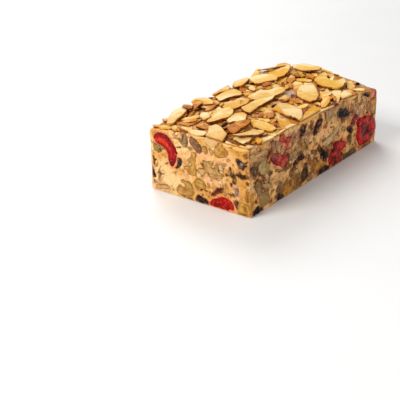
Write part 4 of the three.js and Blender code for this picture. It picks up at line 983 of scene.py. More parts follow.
TONES = {  # each walnut's own colour where it isn't the usual olive-tan
    "walnut_01": (0.34, 0.20, 0.085), "walnut_02": (0.24, 0.115, 0.055), "walnut_03": (0.56, 0.29, 0.058),
    "walnut_04": (0.60, 0.32, 0.066), "walnut_05": (0.53, 0.305, 0.10), "walnut_06": (0.50, 0.26, 0.048),
    "walnut_07": (0.50, 0.27, 0.062), "walnut_08": (0.58, 0.33, 0.13), "walnut_09": (0.44, 0.31, 0.115),
    "walnut_10": (0.27, 0.155, 0.060), "walnut_11": (0.56, 0.38, 0.16), "walnut_12": (0.42, 0.26, 0.10),
    "raisin_01": (0.085, 0.030, 0.024), "raisin_03": (0.17, 0.034, 0.014), "raisin_05": (0.17, 0.068, 0.020),
    "raisin_04": (0.05, 0.024, 0.026), "raisin_08": (0.055, 0.018, 0.016), "raisin_07": (0.055, 0.02, 0.02),
    "raisin_11": (0.030, 0.024, 0.034), "cherry_01": (0.60, 0.030, 0.012), "cherry_02": (0.42, 0.004, 0.003),
    "cherry_03": (0.42, 0.020, 0.016), "cherry_04": (0.62, 0.075, 0.040), "cherry_05": (0.42, 0.012, 0.010),
    "cherry_06": (0.52, 0.006, 0.006), "cherry_07": (0.32, 0.018, 0.013), "cherry_08": (0.58, 0.09, 0.045),
    "peel_01": (0.52, 0.25, 0.035), "peel_02": (0.54, 0.24, 0.022), "peel_03": (0.56, 0.23, 0.018),
    "peel_04": (0.50, 0.19, 0.025),
}
USUAL = {"walnut": (0.50, 0.29, 0.075), "raisin": (0.032, 0.013, 0.011), "cherry": (0.46, 0.012, 0.010),
         "peel": (0.54, 0.24, 0.028), "skin": (0.13, 0.048, 0.013), "almond": (0.86, 0.60, 0.26)}
DEPTHS = {"walnut": 1.6, "raisin": 1.8, "cherry": 2.2, "peel": 1.6, "skin": 0.8, "almond": 1.2}
LIFT = {"cherry_06": 1.15, "cherry_05": 0.75, "cherry_01": 0.30, "cherry_02": 0.35}
PITS = {"cherry_06": 0.85, "cherry_05": 0.95, "cherry_01": 0.22, "cherry_02": 0.25}


def long_way(q):
    """The direction in which points spread the most."""
    d = q - q.mean(0)
    return np.linalg.svd(d, full_matrices=False)[2][0]


def set_in_mesh(name, kind, face, outline):
    """A closed body whose front follows the outline, for one piece: vertices, faces and colours."""
    area = abs((outline[:, 0] * np.roll(outline[:, 1], -1) - outline[:, 1] * np.roll(outline[:, 0], -1)).sum()) / 2
    size = math.sqrt(area / math.pi)
    big = size > 1.5
    flat, depth, tris, rim = filled(outline, 0.42 if big else 0.34, (0.12, 0.27, 0.5) if big else (0.10, 0.24))
    seed = sum(ord(c) * (i + 1) for i, c in enumerate(name)) % 7919
    p3 = np.concatenate([flat, np.full((len(flat), 1), seed * 0.37)], 1)
    way = long_way(outline)
    along = np.stack([(flat @ way) * 0.4, flat @ np.array([-way[1], way[0]]), p3[:, 2]], 1)
    rough = fbm(p3, 1.1, seed + 21, 2) - 0.5
    if kind == "walnut":
        w = -0.02 + 0.08 * step(0, 0.5, depth) + 0.16 * (fbm(p3, 2.2, seed, 2) - 0.5) * step(0, 0.6, depth) + 0.08 * rough * step(0, 0.3, depth)
    elif kind == "cherry":
        lift = LIFT.get(name, 0.45)
        w = -0.12 + (lift + 0.12) * (1 - np.exp(-depth / (1.1 if lift > 0.6 else 0.5)))
        w = w - PITS.get(name, 0.55) * (0.55 * ridged(p3, 3.0, seed, 2) * step(0.2, 1.0, depth) - 0.45 * (fbm(p3, 1.8, seed + 5, 3) - 0.5)) + 0.12 * rough
    elif kind == "raisin":
        w = -0.15 + (0.55 if big else 0.4) * (1 - np.exp(-depth / 0.45)) + 0.15
        w = w - 0.15 - 0.8 * ridged(along, 1.5, seed, 2) * step(0.1, 0.6, depth) + 0.4 * (fbm(p3, 1.3, seed + 3, 2) - 0.5) + 0.15 * rough
    elif kind == "peel":
        w = -0.14 + 0.28 * step(0, 0.5, depth) + 0.26 * (fbm(p3, 2.4, seed, 3) - 0.5) + 0.10 * rough
    elif kind == "almond":
        w = -0.05 + 0.18 * step(0, 0.25, depth) + 0.10 * (fbm(p3, 2.4, seed, 3) - 0.5)
    else:
        w = -0.04 + 0.22 * step(0, 0.3, depth) + 0.2 * (fbm(p3, 1.2, seed, 2) - 0.5)
    if name == "cherry_06":  # sunk in the middle, as a pitted half is
        w = w - 1.0 * np.exp(-(((flat[:, 0] - 129.5) / 4.6) ** 2 + ((flat[:, 1] - 12.4) / 2.9) ** 2))
    w[rim] = np.minimum(w[rim], 0.0 if kind in ("walnut", "peel") else -0.05) - (0.06 if kind in ("walnut", "peel") else 0.10)
    v = np.clip(flat[:, 1], 0.12, None)
    if kind == "almond":
        limit = top_height(0.0, WIDTH - flat[:, 0]) if face == "end" else top_height(flat[:, 0], 0.0)
        v = np.minimum(v, limit + 0.1)
    verts = on_face(face, flat[:, 0], v, w)

    # colours
    base = np.array(OWN.get(name, TONES.get(name, USUAL[kind])))
    if name not in TONES and name not in OWN:
        base = base * (0.8 + 0.4 * ((seed * 37 % 101) / 101.0))
        if kind == "walnut":
            base = base * (1, 0.92 + 0.14 * ((seed * 13 % 97) / 97.0), 0.8 + 0.7 * ((seed * 7 % 89) / 89.0))
        if kind == "skin":
            base = base * (1, 0.8 + 0.7 * ((seed * 13 % 97) / 97.0), 1)
    paint = np.broadcast_to(base, (len(flat), 3)).copy()
    cloud = fbm(p3, 3.0, seed + 9, 3)
    fleck = fbm(p3, 0.9, seed + 15, 2)
    streak = fbm(along * (0.6, 1.3, 1), 1.6, seed + 6, 3)
    if kind == "walnut":
        dark = np.array([0.135, 0.058, 0.020]) if face != "side" else np.array([0.085, 0.036, 0.012])
        paint = lerp(paint, base * (0.74, 0.66, 0.52), step(0.48, 0.66, cloud))
        paint = lerp(paint, np.minimum(base * (1.20, 1.24, 1.32), 0.9), step(0.50, 0.34, cloud) * 0.8)
        paint = lerp(paint, base * (0.62, 0.52, 0.42), step(0.60, 0.70, streak) * 0.6)
        paint = lerp(paint, base * (1.25, 1.3, 1.5), step(0.42, 0.34, streak) * 0.4)
        halo = 1 - step(0.15, 1.1 if big else 0.5, depth)
        paint = lerp(paint, base * (0.62, 0.50, 0.38), halo * 0.6)
        wide = (0.34 if big else 0.16) * (0.35 + 1.3 * fbm(p3, 1.6, seed + 2, 2))
        skin = (1 - step(0.5, 1.3, depth / wide)) * step(0.38, 0.50, fbm(p3, 3.2, seed + 4, 2) + (0.07 if big else 0.0))
        paint = lerp(paint, dark * 0.8, skin * 0.95)
        if name in ("walnut_01", "walnut_08", "walnut_12", "walnut_11"):  # streaked along its length
            tilt = {"walnut_01": 60, "walnut_12": 70, "walnut_11": 17}.get(name, -3)
            c, s = math.cos(math.radians(tilt)), math.sin(math.radians(tilt))
            q = np.stack([(flat[:, 0] * c + flat[:, 1] * s) * 0.18, -flat[:, 0] * s + flat[:, 1] * c, p3[:, 2]], 1)
            lines = fbm(q, 1.15, seed + 6, 2)
            strong = 0.45 if name == "walnut_11" else 0.8
            paint = lerp(paint, base * (0.28, 0.25, 0.25), strong * step(0.56, 0.68, lines))
            paint = lerp(paint, np.minimum(base * (1.35, 1.4, 1.7), 0.9), 0.6 * step(0.44, 0.32, lines))
        if face in ("side", "back") and big:  # folds with skin in them
            fold = ridged(p3 + 1.6 * (cloud - 0.5)[:, None], 5.0, seed + 8, 2)
            paint = lerp(paint, dark * 1.2, 0.75 * step(0.87, 0.95, fold) * step(0.3, 0.5, streak))
        if name == "walnut_03":
            paint = lerp(paint, np.array([0.40, 0.165, 0.022]), 0.75 * step(53.6, 56.6, flat[:, 0] + 2 * (cloud - 0.5)) * step(32.6, 34.0, flat[:, 1]))
        if name == "walnut_10":
            paint = lerp(paint, np.array([0.36, 0.225, 0.07]), 0.7 * step(10.6, 8.6, flat[:, 1]))
        if name == "walnut_bit_0":
            paint = lerp(paint, np.array([0.05, 0.025, 0.012]), np.exp(-(((flat[:, 0] - 8.2) / 1.3) ** 2 + ((flat[:, 1] - 27.2) / 0.9) ** 2)))
    elif kind == "cherry":
        if name == "cherry_01":
            bend = np.array([(4.0, 32.6), (8.0, 33.6), (12.0, 32.6), (15.6, 29.6), (17.4, 26.0), (17.6, 22.0), (17.0, 18.6)])
            near = np.stack([np.linalg.norm(flat - b, axis=1) for b in resample(np.concatenate([bend, bend[::-1]]), 0.4)], 1).min(1)
            out = np.sign((flat[:, 0] - 8.0) * 0.6 + (flat[:, 1] - 26.0)) * near
            bright = step(18.6, 12.0, flat[:, 0]) * step(27.6, 30.0, flat[:, 1]) + 0.35 * step(24, 27, flat[:, 1])
            paint = lerp(np.broadcast_to(np.array([0.42, 0.008, 0.008]), paint.shape), np.array([0.82, 0.060, 0.016]), np.clip(bright, 0, 1) * step(1.9, 0.2, out + 1.4 * (cloud - 0.5)))
            paint = lerp(paint, np.array([0.60, 0.12, 0.045]), 0.45 * step(-1.7, -2.8, out) * step(26, 29, flat[:, 1]))
            paint = lerp(paint, np.array([0.20, 0.006, 0.012]), 0.85 * step(25.0, 20.5, flat[:, 1] + 2.5 * (cloud - 0.5)))
            paint = lerp(paint, np.array([0.24, 0.004, 0.010]), 0.7 * step(2.0, 2.9, out))
        elif name == "cherry_02":
            paint = lerp(paint, np.array([0.62, 0.016, 0.006]), 0.8 * step(52, 60, flat[:, 0] + 3 * (cloud - 0.5)))
            paint = lerp(paint, np.array([0.24, 0.002, 0.003]), 0.75 * step(0.5, 0.64, cloud))
            paint = lerp(paint, np.array([0.72, 0.08, 0.03]), 0.55 * step(0.62, 0.72, fleck))
        elif name == "cherry_03":
            left = step(29.0, 23.0, flat[:, 0])
            paint = lerp(paint, np.array([0.26, 0.008, 0.010]), left)
            paint = lerp(paint, np.array([0.60, 0.13, 0.085]), 0.8 * step(0.47, 0.62, cloud) * step(24, 29, flat[:, 0]))
            paint = lerp(paint, np.array([0.42, 0.16, 0.09]), 0.7 * step(27.0, 30.5, flat[:, 1] + 2.4 * (cloud - 0.5)))
        elif name == "cherry_04":
            paint = lerp(paint, np.array([0.40, 0.020, 0.016]), step(0.48, 0.60, cloud))
            # painted highlights: pale pink flecks stand in for glints
            paint = lerp(paint, np.array([0.80, 0.36, 0.22]), 0.6 * step(0.58, 0.68, fleck))
        elif name == "cherry_08":
            paint = lerp(np.broadcast_to(np.array([0.80, 0.32, 0.16]), paint.shape), np.array([0.56, 0.026, 0.016]), step(137.0, 139.4, flat[:, 0] + 1.5 * (cloud - 0.5)))
        elif name == "cherry_06":
            paint = lerp(paint, np.array([0.76, 0.030, 0.016]), 0.85 * step(0.44, 0.36, cloud))
            paint = lerp(paint, np.array([0.09, 0.002, 0.003]), 0.85 * step(0.52, 0.62, cloud))
            # painted shade: the sunken middle is darkened almost to black
            core = np.exp(-(((flat[:, 0] - 129.5) / 5.4) ** 2 + ((flat[:, 1] - 12.4) / 3.4) ** 2))
            paint = lerp(paint, np.array([0.055, 0.002, 0.002]), 0.85 * step(0.35, 0.8, core + 0.9 * (cloud - 0.5)))
        else:
            paint = lerp(paint, base * (0.24, 0.20, 0.25), step(0.46, 0.60, cloud))
            paint = lerp(paint, np.minimum(base * (2.0, 2.6, 2.2), 0.8), 0.8 * step(0.45, 0.35, cloud))
            # painted highlights: pale pink flecks stand in for glints
            paint = lerp(paint, np.minimum(base * (1.6, 6.0, 4.0), 0.8), 0.5 * step(0.62, 0.70, fleck))
        paint = lerp(paint, paint * (0.60, 0.30, 0.42), 0.75 * (1 - step(0.1, 0.8, depth)))
        paint = paint * (0.82 + 0.36 * fleck)[:, None]
    elif kind == "raisin":
        fold = ridged(along, 1.5, seed, 2)
        # painted shade: darker in the folds, where the front sinks in along the same creases
        paint = lerp(paint, base * (0.30, 0.30, 0.36), step(0.4, 0.75, fold))
        paint = lerp(paint, base * 0.9 + (0.055, 0.022, 0.014), 0.75 * step(0.46, 0.34, cloud))
        if name == "raisin_04":  # sugar in its folds
            spot = np.exp(-(((flat[:, 0] - 67.9) / 1.3) ** 2 + ((flat[:, 1] - 31.4) / 1.1) ** 2))
            paint = lerp(paint, np.array([0.46, 0.34, 0.28]), 0.6 * step(0.45, 0.7, spot + 0.9 * (fleck - 0.5)))
        if name == "raisin_05":
            paint = lerp(paint, np.array([0.045, 0.018, 0.010]), step(0.46, 0.56, streak))
    elif kind == "peel":
        paint = lerp(paint, base * (0.55, 0.44, 0.30), step(0.48, 0.64, cloud))
        paint = lerp(paint, np.minimum(base * (1.35, 1.5, 1.9), 0.9), 0.75 * step(0.46, 0.34, cloud))
        paint = lerp(paint, base * (0.42, 0.30, 0.22), 0.7 * (1 - step(0.1, 0.7, depth)))
        if name == "peel_02":
            paint = lerp(paint, np.array([0.13, 0.052, 0.012]), 0.8 * step(40, 49, flat[:, 0] + 5 * (cloud - 0.5)))
            paint = lerp(paint, np.array([0.17, 0.075, 0.018]), 0.7 * step(5.6, 8.4, flat[:, 1] + 2 * (cloud - 0.5)))
    elif kind == "almond":
        paint = lerp(paint, np.array([0.80, 0.46, 0.13]), 0.7 * step(0.46, 0.62, cloud))
        paint = lerp(paint, SKIN_RED, 0.8 * (1 - step(0.05, 0.22, depth)) * step(0.45, 0.55, fbm(p3, 3.0, seed + 4, 2)))
    else:
        paint = lerp(paint, base * 0.42, step(0.42, 0.6, cloud))
        paint = lerp(paint, base * (2.2, 2.1, 1.6), 0.7 * step(0.54, 0.66, fleck))

    if kind in ("raisin", "walnut", "peel", "skin"):  # crumb smeared over it by the knife
        crumb = np.array({"end": (0.86, 0.50, 0.19), "side": (0.62, 0.34, 0.115)}.get(face, (0.66, 0.37, 0.13)))
        smear = fbm(p3, 1.5, seed + 31, 3) + 0.10 * (1 - step(0.0, 1.3, depth))
        paint = lerp(paint, crumb * (0.75 + 0.5 * fleck)[:, None], (0.3 if kind == "raisin" else 0.5) * (1.0 if face != "end" else 0.5) * step(0.64, 0.70, smear))
    elif kind == "cherry":  # painted highlights: glints of light on the syrup
        painted_glint = fbm(p3, 0.62, seed + 33, 1)
        paint = lerp(paint, np.array([0.90, 0.30, 0.20]), 0.22 * step(0.75, 0.81, painted_glint + 0.35 * (fbm(p3, 3.2, seed + 34, 2) - 0.55)) * step(0.3, 0.6, depth))

    # the hidden back: behind the rim, then a flat bottom
    middle = outline.mean(0)
    back = np.concatenate([flat[rim] * 0.94 + middle * 0.06, middle[None]])
    hidden = on_face(face, back[:, 0], np.clip(back[:, 1], 0.15, None), np.full(len(back), -DEPTHS[kind]))
    start, n = len(verts), len(rim)
    faces = [tuple(f) for f in tris]
    faces += [(start + i, start + (i + 1) % n, rim[(i + 1) % n], rim[i]) for i in range(n)]
    faces += [(start + (i + 1) % n, start + i, start + n) for i in range(n)]
    verts = np.concatenate([verts, hidden])
    paint = np.concatenate([paint, np.broadcast_to(base * 0.5, (len(hidden), 3))])
    return verts, faces, np.clip(paint, 0.002, 0.95)


def make_set_in():
    kinds = {"walnut": (WALNUT, "walnut"), "cherry": (CHERRY, "cherry"), "raisin": (RAISIN, "raisin"),
             "peel": (PEEL, "peel"), "skin": (SKIN, "walnut"), "almond": (ALMOND, "almond")}
    names = {"walnut": "walnut_bits", "cherry": "cherries", "raisin": "currants", "peel": "peel_bits", "skin": "skin_bits",
             "almond": "almond_cuts"}
    extra = {}
    named = {name for name, _, _ in SET_IN}
    for name, kind, face, outline in PIECES:
        verts, faces, paint = set_in_mesh(name, kind, face, outline)
        if name in named:
            batch = Batch()
            batch.add(verts, faces, paint)
            build(name + "_look", batch, *kinds[kind], [name])
        else:
            key = (kind, "hidden" if face in ("back", "far") else "shown")
            extra.setdefault(key, Batch()).add(verts, faces, paint)
    for (kind, where), batch in extra.items():
        build(f"{names[kind]}_{where}", batch, *kinds[kind])


# ------------------------------------------------------------------ sliced almonds

# Outlines seen from above (x, y), thickness, tone, how golden, where the gold lies in degrees, and
# how much of the rim still has its brown skin. The gold is toasting and in part painted shade on the side where it
# lies.
SLICES = [  # in the places of the nodes almond_01 to almond_21
    ([(-1.5, 37.8), (-2.2, 34.1), (0.3, 31.1), (4.6, 32.4), (6.3, 36.3), (6.3, 42.4), (3.6, 45.0)], 1.3, "w", 0.1, 225, 0.3),
    ([(3.1, 30.8), (-2.1, 29.3), (-6.6, 23.5), (-9.8, 17.2), (-4.0, 18.4), (0.6, 18.0), (8.2, 21.1), (14.1, 29.5), (15.5, 34.4), (10.3, 35.4)], 1.3, "k", 0.35, 240, 0.35),
    ([(4.3, 10.7), (3.4, 6.4), (10.7, 6.5), (15.6, 9.4), (16.2, 14.4), (12.6, 16.4), (6.8, 16.0)], 1.6, "c", 0.4, 20, 0.8),
    ([(29.4, 20.3), (26.3, 15.1), (25.9, 9.1), (27.7, 4.7), (31.9, 3.8), (34.9, 8.0), (36.5, 14.3), (36.3, 20.0), (34.6, 23.8)], 1.2, "y", 0.5, 170, 0.5),
    ([(23.4, 31.3), (26.2, 30.5), (28.7, 26.5), (31.6, 25.4), (38.1, 29.5), (39.8, 33.5), (36.7, 36.6), (31.9, 36.6), (25.6, 34.8)], 1.3, "c", 0.5, 30, 0.5),
    ([(9.9, 20.6), (9.4, 17.0), (16.6, 17.9), (24.2, 18.4), (30.6, 20.5), (29.9, 23.5), (25.7, 25.7), (20.3, 27.0), (14.4, 26.2)], 1.8, "s", 0.3, 90, 0.9),
    ([(16.0, 40.3), (19.1, 38.8), (24.3, 37.7), (28.8, 35.8), (34.2, 36.9), (39.5, 40.1), (41.8, 44.8), (38.6, 47.0), (31.8, 46.7), (22.9, 44.6), (16.0, 42.4)], 1.9, "c", 0.4, 250, 1.0),
    ([(49.0, -2.7), (50.9, -3.8), (59.1, -3.5), (65.9, -2.6), (70.9, -0.5), (75.0, 5.6), (70.7, 5.8), (61.8, 3.9), (55.3, 2.6), (49.6, 0.2)], 1.4, "g", 0.4, 60, 0.25),
    ([(54.0, 19.1), (51.5, 14.2), (50.7, 9.6), (49.9, 5.0), (53.3, 2.6), (60.0, 5.7), (64.7, 9.5), (67.0, 15.1), (67.5, 20.8), (64.9, 25.0), (59.0, 23.8), (52.4, 21.6)], 1.4, "g", 0.7, 180, 0.5),
    ([(40.5, 33.0), (40.5, 28.8), (45.8, 29.6), (52.5, 30.8), (59.7, 31.0), (66.7, 31.0), (74.7, 34.0), (66.2, 35.5), (60.4, 38.8), (51.3, 38.5), (43.9, 38.3)], 1.9, "c", 0.35, 200, 1.0),
    ([(61.4, 43.2), (61.4, 39.4), (65.4, 36.0), (72.2, 34.5), (79.0, 34.2), (85.6, 34.1), (89.8, 39.0), (86.6, 42.5), (80.4, 43.7), (78.8, 48.7), (72.0, 48.3), (63.9, 47.9)], 1.4, "c", 0.45, 240, 0.5),
    ([(81.4, 22.4), (78.9, 17.2), (78.4, 11.5), (84.7, 10.8), (92.4, 13.9), (101.6, 21.3), (107.4, 26.7), (103.2, 30.3), (99.1, 32.0), (87.9, 27.5)], 1.6, "c", 0.5, 240, 0.9),
    ([(107.7, 24.1), (107.5, 16.6), (111.2, 11.6), (119.5, 12.2), (128.1, 15.3), (133.5, 19.7), (125.3, 19.9), (121.0, 22.9), (124.1, 28.5), (119.5, 31.4), (111.4, 29.0)], 1.5, "y", 0.35, 200, 0.4),
    ([(4.8, 60.7), (6.8, 59.5), (13.2, 61.5), (19.2, 62.8), (24.2, 64.2), (28.4, 66.9), (30.1, 69.8), (27.5, 71.2), (21.3, 72.5), (13.8, 69.2), (4.7, 62.8)], 1.6, "w", 0.45, 245, 0.2),
    ([(35.6, 67.0), (35.8, 63.2), (37.6, 58.8), (40.0, 56.3), (43.1, 57.9), (47.0, 63.8), (48.0, 69.1), (43.8, 73.7), (38.3, 72.5)], 1.4, "y", 0.4, 190, 0.6),
    ([(48.9, 58.6), (49.5, 57.1), (56.0, 57.0), (60.2, 55.0), (62.1, 52.0), (65.8, 53.5), (69.0, 57.1), (71.5, 62.9), (68.3, 66.4), (60.5, 66.3), (53.5, 65.1)], 1.4, "c", 0.35, 20, 0.6),
    ([(56.0, 67.6), (61.6, 68.1), (66.7, 65.6), (72.6, 67.8), (77.0, 72.8), (67.3, 72.5), (55.8, 69.9)], 1.3, "g", 0.5, 240, 0.7),
    ([(77.5, 70.3), (75.2, 66.1), (80.0, 64.2), (85.6, 65.1), (92.6, 68.1), (97.6, 72.4), (92.9, 73.8), (84.1, 73.7)], 1.4, "c", 0.5, 240, 0.7),
    ([(90.8, 65.5), (87.7, 59.9), (86.2, 55.5), (91.9, 53.0), (97.3, 48.9), (102.7, 51.8), (105.8, 59.4), (104.3, 63.8), (99.6, 67.9), (93.1, 68.9)], 1.4, "c", 0.45, 240, 0.3),
    ([(101.6, 55.6), (102.1, 51.3), (107.3, 49.9), (117.4, 52.7), (126.2, 57.1), (128.0, 60.1), (121.2, 63.7), (110.0, 63.3), (104.1, 61.0)], 1.5, "g", 0.3, 200, 0.9),
    ([(120.5, 50.0), (119.9, 44.0), (124.7, 40.9), (130.2, 37.5), (136.5, 38.6), (137.3, 44.1), (137.1, 52.7), (130.7, 55.3), (124.4, 55.2)], 2.4, "c", 0.35, 250, 1.0),
]
